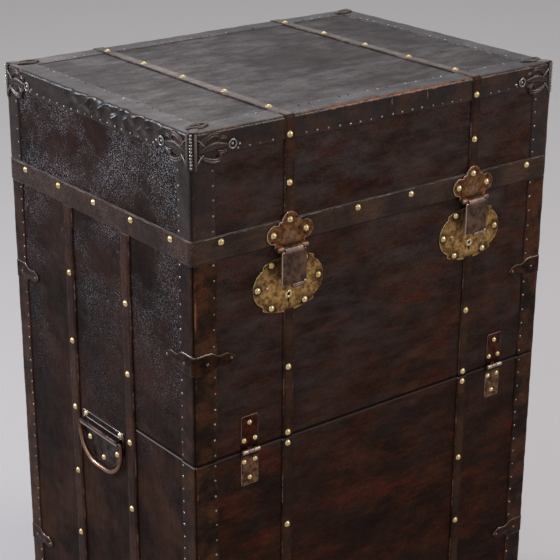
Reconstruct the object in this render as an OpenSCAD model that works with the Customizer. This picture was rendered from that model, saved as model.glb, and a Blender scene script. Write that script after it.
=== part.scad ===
// Upright leather-covered wardrobe trunk with a lift-up lid and a fall front.
// Millimetres, +Z up, front towards -Y, origin on the floor under the middle of the trunk.
// Plates, strips and studs stand on the leather: their height above it is called their proud.

/* [Trunk] */
// Width over the leather, side to side
trunk_w = 660; // [560:1:760]
// Depth over the leather, front to back
trunk_d = 478; // [420:1:540]
// Height of the leather top above the floor
trunk_h = 1110; // [1000:1:1250]
// Height of the lid
lid_h = 178; // [160:1:220]
// Height of the fall front, from the lid down to its hinges
door_h = 295; // [240:1:340]
// Distance of the fall front's seam from the middle of the trunk's sides
return_y = 88; // [84:1:110]
// Radius of the leather's outer arrises
arris_r = 4.5; // [4:0.5:6]
// Thickness of the boards
board_t = 10; // [8:0.5:14]
// Thickness of the leather covering
hide_t = 2; // [1.5:0.1:2.5]
// Thickness of the cloth lining
lining_t = 1; // [0.8:0.1:1.5]
// Gap between the lid and the body
lid_gap = 1; // [0.8:0.1:1.5]
// Gap round the fall front
door_gap = 1.5; // [1:0.1:2]

/* [Runners] */
// Height of the wooden runners under the base
runner_h = 12; // [8:1:25]
// Width of a runner
runner_w = 32; // [24:1:45]
// Distance of a runner's outer side from the trunk's side
runner_inset = 75; // [60:1:120]
// Distance of a runner's ends from the trunk's front and back
runner_end = 30; // [10:1:60]

/* [Bindings] */
// Thickness of the leather bindings
bind_t = 1.5; // [1:0.1:2]
// Width of the edge binding on the lid's top
bind_top = 35; // [28:1:45]
// Width of the edge binding down the sides
bind_edge = 32; // [26:1:40]
// Width of a corner binding on the front and back
bind_front = 37; // [30:1:42]
// Width of a corner binding on the sides
bind_side = 32; // [28:1:38]

/* [Straps and band] */
// Thickness of the straps and the band
strap_t = 3; // [2:0.1:3.5]
// Width of the straps over the lid and down the front and back
strap_w = 17; // [14:1:20]
// Distance of the front straps from the middle
strap_x = 172; // [150:1:185]
// Width of the side straps
side_strap_w = 24; // [18:1:26]
// Height of the leather band round the lid's lower edge
band_h = 34; // [28:1:40]

/* [Studs] */
// Radius of a brass dome stud
stud_r = 4.9; // [3.5:0.1:5.5]
// Height of a brass dome stud
stud_h = 3; // [2:0.1:3.5]
// Radius of a hinge leaf's studs
leaf_stud_r = 4; // [3:0.1:4.5]
// Height of a hinge leaf's studs
leaf_stud_h = 2.6; // [2:0.1:3]
// Spacing of the studs on the top straps
top_stud_pitch = 101; // [80:1:105]
// Distance of the top straps' studs behind the middle
top_stud_shift = 7; // [0:1:15]
// Depth of the lid straps' upper studs below the top
lid_stud_drop = 25; // [18:1:30]
// Spacing of the two studs on the front of a lid strap
lid_stud_pitch = 67; // [50:1:70]
// Depth of the side and back straps' first studs below the lid
side_stud_drop = 103; // [90:1:115]
// Spacing of the studs on the side and back straps
side_stud_pitch = 109; // [90:1:120]
// Distance from the fall front's seam to the studs beside it
seam_stud = 8.5; // [8:0.5:12]
// Spacing of the two studs on a fall front strap
door_stud_pitch = 102; // [80:1:105]
// Distance from the seam to the second studs of the lower front straps
low_stud_drop = 141; // [120:1:150]
// Spacing of the further studs on the lower front straps
front_stud_pitch = 113; // [90:1:120]
// Least height of a stud above the floor
stud_floor = 36; // [30:1:44]
// Spacing of the studs on the band's sides
band_stud_pitch = 96; // [80:1:105]
// Depth of the band's studs below its top edge
band_stud_drop = 9; // [7:0.5:14]
// Distances of the band's front studs from the middle and from the trunk's sides
band_stud_x = 50; // [40:1:80]
band_stud_inset = 44; // [38:1:60]

/* [Ironwork] */
// Thickness of the pressed irons
iron_t = 1.6; // [1.2:0.1:2]
// Reach of a corner iron along each edge
iron_reach = 68; // [60:1:75]
// Reach of a corner iron down the corner
iron_drop = 50; // [40:1:60]
// How far the pressed outlines reach back from the face that they lie on
iron_edge = 12; // [8:1:16]
// Radius of the raised rib on a corner iron
rib_r = 3.5; // [3:0.1:4]
// Reach of a corner bracket along each face
bracket_reach = 68; // [55:1:75]
// Height of a corner bracket
bracket_h = 30; // [24:1:36]
// Height that a bracket stands above the bindings
bracket_t = 0.9; // [0.6:0.1:1.4]
// Distance of the brackets from the trunk's mid-height
bracket_offset = 233; // [200:1:250]

/* [Hinges] */
// Length of a hinge barrel on the fall front
hinge_w = 30; // [26:1:36]
// Height of a hinge leaf on the fall front
leaf_h = 54; // [40:1:60]
// Distance of a leaf's studs from its edges
leaf_edge = 5.5; // [5:0.5:7]
// Length of a hinge barrel on the lid
lid_hinge_w = 52; // [40:1:60]
// Height of a hinge leaf on the lid
lid_leaf_h = 32; // [30:1:34]
// Distance of the hinges from the middle
hinge_x = 239; // [225:1:250]
// Thickness of a hinge leaf
leaf_t = 1.5; // [1:0.1:1.6]
// Radius of a hinge barrel
barrel_r = 3.5; // [3.2:0.1:3.8]
// Radius of a hinge pin
pin_r = 1.5; // [1.2:0.1:1.8]

/* [Locks] */
// Width of a lock plate
lock_w = 122; // [110:1:130]
// Height of a lock plate
lock_h = 83; // [74:1:84]
// Depth of a lock plate's middle below the lid
lock_drop = 58.5; // [58:0.5:66]
// Thickness of the lock and hasp plates
plate_t = 1.5; // [1.2:0.1:1.6]
// Distance of the side studs from a lock plate's middle
lock_stud_x = 53; // [48:1:54]
// Distances of the other studs from a lock plate's middle, across and up
lock_inner_x = 29; // [26:1:32]
lock_inner_z = 31.5; // [26:0.5:33]
// Depth of the keyhole below a lock plate's middle
keyhole_drop = 16; // [12:1:18]
// Radius of the keyhole
keyhole_r = 2.4; // [2:0.1:3]
// Length of the keyhole's slot below its middle
keyhole_l = 10.5; // [9:0.5:12]
// Radius of the keyhole escutcheon
escutcheon_r = 6; // [5:0.5:7]
// Thickness of the keyhole escutcheon
escutcheon_t = 1.8; // [1:0.1:2.2]
// Half the spread of a hasp plate's lower lobes
trefoil_x = 28; // [24:1:30]
// Radius of a hasp plate's lobes
trefoil_r = 12; // [10:0.5:13]
// Heights of the upper lobe's and the lower lobes' studs above the hasp's hinge
trefoil_rise = 38; // [34:1:40]
trefoil_side = 20; // [16:1:22]
// Depth of the hasp's hinge below the lid
hasp_drop = 4; // [2:0.5:8]
// Length of the hasp's hinge barrel
hasp_barrel_w = 52; // [48:1:56]
// Radius of the hasp's hinge barrel
hasp_barrel_r = 4; // [3.6:0.1:4.2]
// Proud of the hasp's hinge axis
hasp_axis_p = 9.2; // [9:0.1:10]
// Width of a hasp flap
flap_w = 43; // [36:1:46]
// Length of a hasp flap below its hinge
flap_l = 52; // [44:1:54]
// Thickness of a hasp flap
flap_t = 2.5; // [2:0.1:3]
// Width of the finger lip under a flap
lip_w = 20; // [14:1:26]
// Height of the finger lip
lip_h = 11; // [8:1:12]
// Width of a lock box inside the fall front
case_w = 64; // [50:1:80]
// Height of a lock box
case_h = 48; // [36:1:60]
// Depth of a lock box
case_t = 13; // [10:1:18]

/* [Handles] */
// Proud of a bail's top bar
bail_p = 6.5; // [6.2:0.1:8]
// Radius of a bail's bar
bail_r = 3.6; // [3:0.1:3.8]
// Half the width of a bail, at the middle of its bar
bail_x = 57; // [54.5:0.5:58]
// Drop of a bail, at the middle of its bar
bail_drop = 58; // [52:1:64]
// Radius of a bail's lower corners
bail_corner = 46; // [38:1:48]
// Half the length of the sleeve that holds a bail
sleeve_x = 51; // [46:1:52]
// Height of the bails' bars above the trunk's mid-height
bail_rise = 44; // [20:1:60]
// Width of a handle plate
handle_w = 112; // [108:1:118]
// Height of a handle plate
handle_h = 70; // [66:1:80]
// Width of a handle plate's lower end
handle_foot = 24; // [18:1:34]
// Distance of a handle plate's upper studs from its side edges
handle_edge = 9; // [8:0.5:11]
// Depth of the middle studs below the bail's bar
handle_stud_drop = 24; // [20:1:28]
// Wall of the sleeve round a bail's bar
sleeve_wall = 1.8; // [1.4:0.1:2.2]
// Depth of the bail's bar below the top of its plate
handle_bar_drop = 17; // [16:0.5:20]

/* [Inside] */
// Radius of the garment rail
rail_r = 12.5; // [10:0.5:15]
// Height of the garment rail's middle below the lid
rail_drop = 30; // [28:1:60]
// Distance of the garment rail behind the trunk's middle
rail_y = 70; // [40:1:110]
// Radius of a rail socket
socket_r = 20; // [18:0.5:24]
// Thickness of a rail socket
socket_t = 9; // [7:0.5:12]
// Thickness of a rail socket's floor
socket_floor = 2; // [1.5:0.5:3]
// Wall of the garment rail's tube
rail_wall = 1.2; // [1:0.1:2]

/* [Fits] */
// Running clearance of the hinge pins
pin_clear = 0.05; // [0.03:0.01:0.1]
// Length of a hinge pin beyond each end of its barrel
pin_end = 1; // [0.5:0.1:2]
// Gap left in the leather round a lid hinge
hinge_clear = 1; // [0.5:0.1:2]
// Side clearance between hinge knuckles
knuckle_clear = 0.3; // [0.2:0.05:0.5]
// Clearance of the bails in their sleeves, and of the rail in its sockets
loose_clear = 0.3; // [0.2:0.05:0.5]

/* [Hidden] */
$fn = 32;

half_w = trunk_w / 2;
half_d = trunk_d / 2;
// Height of the body's top edge, of the lid's lower edge, and of the seam under the fall front
z_part = trunk_h - lid_h;
z_lid = z_part + lid_gap;
z_seam = z_part - door_h;
z_door = z_seam + door_gap;
// Heights of the seam hinge's axis and of the lid hinge's axis
z_seam_axis = z_seam + door_gap / 2;
z_lid_axis = z_part + lid_gap / 2;
// Depth coordinate of the fall front's rear edge and of the carcass edge behind it
y_door = -return_y - door_gap;
y_carcass = -return_y;
z_band = z_lid + band_h;
// The side straps: the front one lies along the fall front's seam, the rear one mirrors it
side_strap_y = return_y - side_strap_w / 2;
// Middle of the trunk's height, where the brackets are set out from
z_middle = trunk_h / 2;
z_bracket_high = z_middle + bracket_offset;
z_bracket_low = z_middle - bracket_offset;
// Outer half sizes of the boards
board_x = half_w - hide_t;
board_y = half_d - hide_t;
// Inner half sizes of the boards
cavity_x = board_x - board_t;
cavity_y = board_y - board_t;
z_floor = runner_h + hide_t + board_t;
// Proud of the hinge barrels' axis: the barrel stays half a millimetre off the leather
barrel_p = barrel_r + 0.5;
// Middle of the lock plates, their keyhole and the hasp's hinge axis
z_lock = z_part - lock_drop;
z_key = z_lock - keyhole_drop;
z_hasp = z_part - hasp_drop;
// Proud of the faces that the hasp plate, the straps' studs and the irons sit on
hasp_p = strap_t;
// Height of the bails' bars, and a plate's lower edge measured from the bar
z_bail = z_middle + bail_rise;
handle_low = handle_bar_drop - handle_h;
far = 2000;
sides = [-1, 1];
// Places of the studs; the rows down the trunk end above the lowest height of a stud
top_strap_studs = [for (i = [-2:2]) top_stud_shift + i * top_stud_pitch];
lid_front_studs = [for (i = [0, 1]) trunk_h - lid_stud_drop - i * lid_stud_pitch];
door_stud_zs = [for (i = [0, 1]) z_seam + seam_stud + i * door_stud_pitch];
front_low_studs = [
    z_seam - seam_stud, for (z = [z_seam - low_stud_drop:-front_stud_pitch:stud_floor]) z
];
side_low_studs = [for (z = [z_part - side_stud_drop:-side_stud_pitch:stud_floor]) z];
band_side_studs = [for (i = [-2:2]) i * band_stud_pitch];
band_front_studs = [for (s = sides, x = [band_stud_x, half_w - band_stud_inset]) s * x];
// Places of a lock plate's studs about its middle
lock_studs = [
    for (s = sides) each [[s * lock_stud_x, 0], for (t = sides) [s * lock_inner_x, t * lock_inner_z]]
];
trefoil_studs = [
    [0, trefoil_rise], [-trefoil_x, trefoil_side], [trefoil_x, trefoil_side]
];
handle_studs = [
    for (s = sides) each [
        [s * (handle_w / 2 - handle_edge), handle_bar_drop - handle_edge / 1.5],
        [s * (handle_w / 2 - 2 * handle_edge), -handle_stud_drop]
    ],
    [0, handle_low + handle_edge]
];

// Boxes and faces

// Box between two opposite corners
module block(low, high) {
    translate(low) cube(high - low);
}

// Children drawn on the front face: x across, z up, standing p off the leather
module on_front(x, z, p = 0) {
    translate([x, -half_d - p, z]) rotate([90, 0, 0]) children();
}

// The same on the back face
module on_back(x, z, p = 0) {
    translate([x, half_d + p, z]) rotate([90, 0, 180]) children();
}

// The same on the left or right face
module on_side(side, y, z, p = 0) {
    translate([side * (half_w + p), y, z]) rotate([90, 0, side * 90]) children();
}

// Rectangle with round corners
module round_rect(w, d, r) {
    square([w - 2 * r, d], center = true);
    square([w, d - 2 * r], center = true);
    for (x = sides, y = sides)
        translate([x * (w / 2 - r), y * (d / 2 - r)]) circle(r);
}

// Upright block of the trunk's plan, grown by p, with round vertical arrises
module plan_block(p, z0, z1) {
    translate([0, 0, z0])
        linear_extrude(z1 - z0)
            round_rect(trunk_w + 2 * p, trunk_d + 2 * p, arris_r + p);
}

// The lid's outer block, grown by p, with its top arrises round as well
module lid_block(p, z0 = z_lid) {
    h = 2 * (trunk_h + p - z0);
    intersection() {
        plan_block(p, z0, trunk_h + p);
        translate([0, 0, z0])
            rotate([90, 0, 90])
                linear_extrude(far, center = true)
                    round_rect(trunk_d + 2 * p, h, arris_r + p);
        translate([0, 0, z0])
            rotate([90, 0, 0])
                linear_extrude(far, center = true)
                    round_rect(trunk_w + 2 * p, h, arris_r + p);
    }
}

// Domed stud head, base at z = 0
module dome(r = stud_r, h = stud_h) {
    ball = (r * r + h * h) / (2 * h);
    intersection() {
        translate([0, 0, h - ball]) sphere(ball);
        translate([-r, -r, 0]) cube([2 * r, 2 * r, h]);
    }
}

// Boards and cloth

module runners() {
    color("saddlebrown")
        for (s = sides)
            block([s * (half_w - runner_inset) - (s + 1) / 2 * runner_w, -half_d + runner_end, 0],
                  [s * (half_w - runner_inset) - (s - 1) / 2 * runner_w, half_d - runner_end, runner_h]);
}

module base_panel() {
    color("peru")
        block([-board_x, -board_y, runner_h + hide_t], [board_x, board_y, z_floor]);
}

module back_panel() {
    color("peru")
        block([-board_x, cavity_y, z_floor], [board_x, board_y, z_part]);
}

module side_panel(s) {
    color("peru")
        difference() {
            block([min(s * cavity_x, s * board_x), -board_y, z_floor],
                  [max(s * cavity_x, s * board_x), cavity_y, z_part]);
            block([-far, -far, z_seam], [far, y_carcass, far]);
        }
}

module side_panel_left() {
    side_panel(-1);
}

module side_panel_right() {
    side_panel(1);
}

module front_panel() {
    color("peru")
        block([-cavity_x, -board_y, z_floor], [cavity_x, -cavity_y, z_seam]);
}

// Cloth on the inner faces of a box that is open above z1
module carcass_lining() {
    color("rosybrown")
        difference() {
            block([-cavity_x, -cavity_y, z_floor], [cavity_x, cavity_y, z_part]);
            block([lining_t - cavity_x, lining_t - cavity_y, z_floor + lining_t],
                  [cavity_x - lining_t, cavity_y - lining_t, far]);
            block([-far, -far, z_seam], [far, y_carcass, far]);
        }
}

module lid_shell() {
    color("peru")
        difference() {
            block([-board_x, -board_y, z_lid], [board_x, board_y, trunk_h - hide_t]);
            block([-cavity_x, -cavity_y, 0], [cavity_x, cavity_y, trunk_h - hide_t - board_t]);
        }
}

module lid_lining() {
    color("rosybrown")
        difference() {
            block([-cavity_x, -cavity_y, z_lid], [cavity_x, cavity_y, trunk_h - hide_t - board_t]);
            block([lining_t - cavity_x, lining_t - cavity_y, 0],
                  [cavity_x - lining_t, cavity_y - lining_t,
                   trunk_h - hide_t - board_t - lining_t]);
        }
}

module door_panel() {
    color("peru")
        difference() {
            block([-board_x, -board_y, z_door], [board_x, y_door, z_part]);
            block([-cavity_x, -cavity_y, 0], [cavity_x, far, far]);
        }
}

module door_lining() {
    color("rosybrown")
        difference() {
            block([-cavity_x, -cavity_y, z_door], [cavity_x, y_door, z_part]);
            block([lining_t - cavity_x, lining_t - cavity_y, 0], [cavity_x - lining_t, far, far]);
        }
}

// Leather covering

module carcass_hide() {
    color("#2a1a15")
        difference() {
            plan_block(0, runner_h, z_part);
            block([-board_x, -board_y, runner_h + hide_t], [board_x, board_y, far]);
            block([-far, -far, z_seam], [far, y_carcass, far]);
        }
}

module door_hide() {
    color("#2a1a15")
        difference() {
            plan_block(0, z_door, z_part);
            block([-board_x, -board_y, 0], [board_x, far, far]);
            block([-far, y_door, 0], [far, far, far]);
        }
}

module lid_hide() {
    color("#3a2c26")
        difference() {
            lid_block(0);
            block([-board_x, -board_y, 0], [board_x, board_y, trunk_h - hide_t]);
        }
}

// Bindings

// Leather skin of the binding's thickness on the four corners, between two heights
module corner_skin(z0, z1) {
    difference() {
        plan_block(bind_t, z0, z1);
        plan_block(0, z0 - 1, z1 + 1);
        block([bind_front - half_w, -far, 0], [half_w - bind_front, far, far]);
        block([-far, bind_side - half_d, 0], [far, half_d - bind_side, far]);
    }
}

// Gap in a corner binding that takes a bracket
module bracket_gap(z) {
    block([-far, -far, z - bracket_h / 2], [far, far, z + bracket_h / 2]);
}

// Gaps at the back that take the lid's hinges
module lid_hinge_gaps() {
    w = lid_hinge_w / 2 + hinge_clear;
    for (s = sides)
        block([s * hinge_x - w, half_d - hide_t, z_lid_axis - lid_leaf_h - hinge_clear],
              [s * hinge_x + w, far, far]);
}

module carcass_bindings() {
    z_base = runner_h + bind_edge;
    color("#241812")
        difference() {
            union() {
                corner_skin(z_base - 1, z_part);
                difference() {
                    plan_block(bind_t, runner_h, z_base);
                    plan_block(0, runner_h - 1, z_base + 1);
                }
            }
            block([-far, -far, z_seam], [far, y_carcass, far]);
            bracket_gap(z_bracket_high);
            bracket_gap(z_bracket_low);
            lid_hinge_gaps();
            for (s = sides) {
                block([s * strap_x - strap_w / 2, -far, 0], [s * strap_x + strap_w / 2, far, far]);
                block([-far, s * side_strap_y - side_strap_w / 2, 0],
                      [far, s * side_strap_y + side_strap_w / 2, far]);
            }
        }
}

module door_bindings() {
    color("#241812")
        difference() {
            corner_skin(z_door, z_part);
            block([-far, 0, 0], [far, far, far]);
            bracket_gap(z_bracket_high);
        }
}

module lid_bindings() {
    z_edge = trunk_h - bind_edge;
    color("#4a3a30")
        difference() {
            lid_block(bind_t, z_band);
            lid_block(0, z_band - 1);
            block([bind_top - half_w, bind_top - half_d, trunk_h - 1],
                  [half_w - bind_top, half_d - bind_top, far]);
            block([bind_front - half_w, -far, 0], [half_w - bind_front, far, z_edge]);
            block([-far, bind_side - half_d, 0], [far, half_d - bind_side, z_edge]);
            for (s = sides)
                block([s * strap_x - strap_w / 2, -far, 0], [s * strap_x + strap_w / 2, far, far]);
        }
}

// Straps and band

module lid_band() {
    color("#33261f")
        difference() {
            plan_block(strap_t, z_lid, z_band);
            plan_block(0, z_lid - 1, z_band + 1);
            lid_hinge_gaps();
        }
}

// Two straps over the lid, from the band in front to the band at the back
module lid_straps() {
    h = 2 * (trunk_h + strap_t);
    color("#4a4038")
        for (s = sides)
            translate([s * strap_x - strap_w / 2, 0, 0])
                rotate([90, 0, 90])
                    linear_extrude(strap_w)
                        difference() {
                            round_rect(trunk_d + 2 * strap_t, h, arris_r + strap_t);
                            round_rect(trunk_d, 2 * trunk_h, arris_r);
                            translate([-far, -2 * far]) square([2 * far, 2 * far + z_band]);
                        }
}

// Straight strap lying on the leather, middle at x = 0, from z0 up to z1
module strap(w, z0, z1) {
    translate([-w / 2, z0, 0]) cube([w, z1 - z0, strap_t]);
}

module door_straps() {
    color("#3a2417")
        for (s = sides)
            on_front(s * strap_x, 0) strap(strap_w, z_door, z_lock - lock_h / 2 - loose_clear);
}

module front_lower_straps() {
    color("#3a2417")
        for (s = sides)
            on_front(s * strap_x, 0) strap(strap_w, runner_h, z_seam);
}

module back_straps() {
    color("#3a2417")
        for (s = sides)
            on_back(s * strap_x, 0) strap(strap_w, runner_h, z_part);
}

module side_straps() {
    color("#3a2417")
        for (s = sides, y = sides)
            on_side(s, y * side_strap_y, 0) strap(side_strap_w, runner_h, z_part);
}

// Ironwork

// Outline of a corner iron on an upright face, the corner at the origin, the edges along x and -y:
// a strip down the corner, two leaf blades and a round eyelet
module iron_outline(drop) {
    translate([-10, -drop]) square([17, drop]);
    polygon([
        [0, -27], [0, -14], [18, -12], [32, -4], [iron_reach - 18, -7], [iron_reach - 8, -16],
        [iron_reach - 8, -24], [40, -23], [22, -27]
    ]);
    polygon([[0, -30], [0, -20], [24, -24], [38, -29], [41, -37], [31, -42], [17, -37], [6, -33]]);
    translate([iron_reach - 7, -20]) circle(7);
}

// Outline of a corner iron on the top, the corner at the origin, the edges along x and -y
module iron_top_outline() {
    translate([-10, -16]) square([26, 26]);
    translate([19, -9]) circle(8);
    translate([9, -19]) circle(8);
}

// Children, drawn at the corner at +X, -Y, repeated at all four corners
module four_corners() {
    for (s = sides, t = sides)
        mirror([(1 - s) / 2, 0, 0]) mirror([0, (1 + t) / 2, 0]) children();
}

// Raised rib down a corner of the lid
module rib(z0, z1) {
    r = arris_r + bind_t;
    translate([half_w + bind_t - r * 0.3, -half_d - bind_t + r * 0.3, z0])
        cylinder(r = rib_r, h = z1 - z0);
}

module lid_irons() {
    p = bind_t;
    color("#39322c")
        four_corners() {
            difference() {
                union() {
                    intersection() {
                        lid_block(p + iron_t, z_lid);
                        iron_skin_cut();
                    }
                    rib(trunk_h - iron_drop, trunk_h + p);
                }
                lid_block(p, z_lid - 1);
            }
        }
}

// Space that each face's outline keeps, as prisms square to that face
module iron_skin_cut() {
    // front face
    translate([half_w, -half_d + iron_edge, trunk_h])
        rotate([90, 0, 0]) linear_extrude(2 * iron_edge) mirror([1, 0]) iron_outline(iron_drop);
    // side face
    translate([half_w - iron_edge, -half_d, trunk_h])
        rotate([90, 0, 90]) linear_extrude(2 * iron_edge) iron_outline(iron_drop);
    // top face
    translate([half_w, -half_d, trunk_h - iron_edge])
        linear_extrude(2 * iron_edge) mirror([1, 0]) mirror([0, 1]) iron_top_outline();
}

// Irons at the foot of the corners, with no top face
module base_irons() {
    p = bind_t;
    color("#39322c")
        four_corners() {
            difference() {
                union() {
                    intersection() {
                        plan_block(p + iron_t, runner_h, runner_h + iron_drop);
                        union() {
                            translate([half_w, -half_d + iron_edge, runner_h])
                                rotate([90, 0, 0]) linear_extrude(2 * iron_edge)
                                    mirror([1, 0]) mirror([0, 1]) iron_outline(iron_drop);
                            translate([half_w - iron_edge, -half_d, runner_h])
                                rotate([90, 0, 90]) linear_extrude(2 * iron_edge)
                                    mirror([0, 1]) iron_outline(iron_drop);
                        }
                    }
                    rib(runner_h, runner_h + iron_drop);
                }
                plan_block(p, runner_h - 1, runner_h + iron_drop + 1);
            }
        }
}

// Outline of a bracket's arm on one face, the corner at x = 0
module bracket_outline() {
    h = bracket_h / 2;
    r = bracket_reach;
    polygon([
        [-10, -h], [0.32 * r, -h], [0.52 * r, -0.57 * h], [0.75 * r, -0.75 * h], [0.88 * r, -0.5 * h],
        [r, 0],
        [0.88 * r, 0.5 * h], [0.75 * r, 0.75 * h], [0.52 * r, 0.57 * h], [0.32 * r, h], [-10, h]
    ]);
}

// Bracket bent round the corner at +X, -Y, its middle at height z
module bracket(z) {
    difference() {
        intersection() {
            plan_block(bind_t + bracket_t, z - bracket_h / 2, z + bracket_h / 2);
            union() {
                translate([half_w, -half_d + iron_edge, z])
                    rotate([90, 0, 0]) linear_extrude(2 * iron_edge)
                        mirror([1, 0]) bracket_outline();
                translate([half_w - iron_edge, -half_d, z])
                    rotate([90, 0, 90]) linear_extrude(2 * iron_edge) bracket_outline();
            }
        }
        plan_block(0, 0, far);
    }
}

module door_brackets() {
    color("#39322c")
        for (s = sides)
            mirror([(1 - s) / 2, 0, 0]) bracket(z_bracket_high);
}

module carcass_brackets() {
    color("#39322c") {
        four_corners() bracket(z_bracket_low);
        for (s = sides)
            mirror([(1 - s) / 2, 0, 0]) mirror([0, 1, 0]) bracket(z_bracket_high);
    }
}

// Studs

module lid_studs() {
    color("#c9a45a") {
        for (s = sides) {
            for (y = top_strap_studs)
                translate([s * strap_x, y, trunk_h + strap_t]) dome();
            for (z = lid_front_studs) {
                on_front(s * strap_x, z, strap_t) dome();
                on_back(s * strap_x, z, strap_t) dome();
            }
            for (y = band_side_studs)
                on_side(s, y, z_band - band_stud_drop, strap_t) dome();
            for (q = trefoil_studs)
                on_front(s * strap_x + q[0], z_hasp + q[1], hasp_p + plate_t) dome();
        }
        for (x = band_front_studs) {
            on_front(x, z_band - band_stud_drop, strap_t) dome();
            if (abs(x) < hinge_x - lid_hinge_w / 2)
                on_back(x, z_band - band_stud_drop, strap_t) dome();
        }
    }
}

// Three studs of a hinge leaf, up the face from the barrel (dir = 1) or down it (dir = -1)
module leaf_studs(dir) {
    x = hinge_w / 2 - leaf_edge;
    for (q = [[-x, 3 * leaf_edge], [x, 3 * leaf_edge], [0, leaf_h - 2 * leaf_edge]])
        translate([q[0], dir * q[1], 0]) dome(leaf_stud_r, leaf_stud_h);
}

module door_studs() {
    color("#c9a45a")
        for (s = sides) {
            for (z = door_stud_zs)
                on_front(s * strap_x, z, strap_t) dome();
            for (q = lock_studs)
                on_front(s * strap_x + q[0], z_lock + q[1], plate_t) dome();
            on_front(s * hinge_x, z_seam_axis, leaf_t) leaf_studs(1);
        }
}

module carcass_studs() {
    color("#c9a45a")
        for (s = sides) {
            for (z = front_low_studs)
                on_front(s * strap_x, z, strap_t) dome();
            for (z = side_low_studs) {
                for (y = sides)
                    on_side(s, y * side_strap_y, z, strap_t) dome();
                on_back(s * strap_x, z, strap_t) dome();
            }
            for (q = handle_studs)
                on_side(s, q[0], z_bail + q[1], iron_t) dome();
            on_front(s * hinge_x, z_seam_axis, leaf_t) leaf_studs(-1);
        }
}

// Hinges, drawn on a face with the axis along x at the origin, z out of the face

// One leaf: plate up the face, and the knuckles of the odd or even thirds of the barrel
module leaf(w, h, middle) {
    third = w / 3;
    difference() {
        union() {
            translate([-w / 2, barrel_r + 1, 0]) cube([w, h - barrel_r - 1, leaf_t]);
            if (middle)
                knuckle(-third / 2 + knuckle_clear, third / 2 - knuckle_clear);
            else {
                knuckle(-w / 2, -third / 2);
                knuckle(third / 2, w / 2);
            }
        }
        translate([-w, 0, barrel_p]) rotate([0, 90, 0]) cylinder(r = pin_r + pin_clear, h = 2 * w);
    }
}

// Part of the barrel between two places along it, joined to its leaf's plate
module knuckle(x0, x1) {
    translate([x0, 0, barrel_p]) rotate([0, 90, 0]) cylinder(r = barrel_r, h = x1 - x0);
    translate([x0, 0, 0]) cube([x1 - x0, barrel_r + 2, leaf_t]);
}

module hinge_pin(w) {
    translate([-w / 2 - pin_end, 0, barrel_p])
        rotate([0, 90, 0]) cylinder(r = pin_r, h = w + 2 * pin_end);
}

module seam_hinge_upper_leaves() {
    color("#5a2a1c")
        for (s = sides)
            on_front(s * hinge_x, z_seam_axis) leaf(hinge_w, leaf_h, true);
}

module seam_hinge_lower_leaves() {
    color("#6a5a48")
        for (s = sides)
            on_front(s * hinge_x, z_seam_axis) mirror([0, 1, 0]) leaf(hinge_w, leaf_h, false);
}

module seam_hinge_pins() {
    color("dimgray")
        for (s = sides)
            on_front(s * hinge_x, z_seam_axis) hinge_pin(hinge_w);
}

module lid_hinge_upper_leaves() {
    color("#5a4a38")
        for (s = sides)
            on_back(s * hinge_x, z_lid_axis) leaf(lid_hinge_w, lid_leaf_h, true);
}

module lid_hinge_lower_leaves() {
    color("#5a4a38")
        for (s = sides)
            on_back(s * hinge_x, z_lid_axis)
                mirror([0, 1, 0]) leaf(lid_hinge_w, lid_leaf_h, false);
}

module lid_hinge_pins() {
    color("dimgray")
        for (s = sides)
            on_back(s * hinge_x, z_lid_axis) hinge_pin(lid_hinge_w);
}

// Locks and hasps

// Outline of a lock plate: a lens with clipped corners between two round ends, four cusps where
// they meet
module lock_outline() {
    end_r = 30;
    arc_r = 117;
    body_x = lock_w / 2 - 19;
    intersection() {
        translate([0, arc_r - lock_h / 2]) circle(arc_r, $fn = 96);
        translate([0, lock_h / 2 - arc_r]) circle(arc_r, $fn = 96);
        square([2 * body_x, lock_h], center = true);
    }
    for (x = sides)
        translate([x * (lock_w / 2 - end_r), 0]) circle(end_r);
}

// Keyhole: a round hole, and under the escutcheon's ring the slot that shows below it
module keyhole() {
    circle(keyhole_r);
    translate([-keyhole_r / 2, -keyhole_l]) square([keyhole_r, keyhole_l]);
}

module lock_plates() {
    color("#7a5a2a")
        for (s = sides)
            on_front(s * strap_x, z_lock)
                linear_extrude(plate_t)
                    difference() {
                        lock_outline();
                        translate([0, z_key - z_lock]) keyhole();
                    }
}

module escutcheons() {
    color("#8a6a34")
        for (s = sides)
            on_front(s * strap_x, z_key, plate_t)
                linear_extrude(escutcheon_t)
                    difference() {
                        circle(escutcheon_r);
                        circle(keyhole_r);
                    }
}

// Lock boxes on the inside of the fall front, behind the plates
module lock_cases() {
    color("#6a5030")
        for (s = sides)
            block([s * strap_x - case_w / 2, lining_t - cavity_y, z_key - case_h / 2],
                  [s * strap_x + case_w / 2, lining_t - cavity_y + case_t, z_key + case_h / 2]);
}

// Plate on the band with three lobes, and the two outer knuckles of the hasp's hinge
module hasp_plate() {
    third = hasp_barrel_w * 0.3;
    difference() {
        union() {
            linear_extrude(plate_t) {
                for (q = trefoil_studs)
                    translate(q) circle(trefoil_r);
                translate([-hasp_barrel_w / 2, 0]) square([hasp_barrel_w, 27]);
                translate([-trefoil_r, 20]) square([2 * trefoil_r, 18]);
            }
            for (x = [-hasp_barrel_w / 2, third])
                translate([x, 0, hasp_axis_p - hasp_p])
                    rotate([0, 90, 0]) cylinder(r = hasp_barrel_r, h = hasp_barrel_w / 2 - third);
            for (x = [-hasp_barrel_w / 2, third])
                translate([x, 0, 0]) cube([hasp_barrel_w / 2 - third, 3, hasp_axis_p - hasp_p]);
        }
        translate([-far, 0, hasp_axis_p - hasp_p])
            rotate([0, 90, 0]) cylinder(r = pin_r + pin_clear, h = 2 * far);
    }
}

module hasp_plates() {
    color("#5a3520")
        for (s = sides)
            on_front(s * strap_x, z_hasp, hasp_p) hasp_plate();
}

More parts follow.
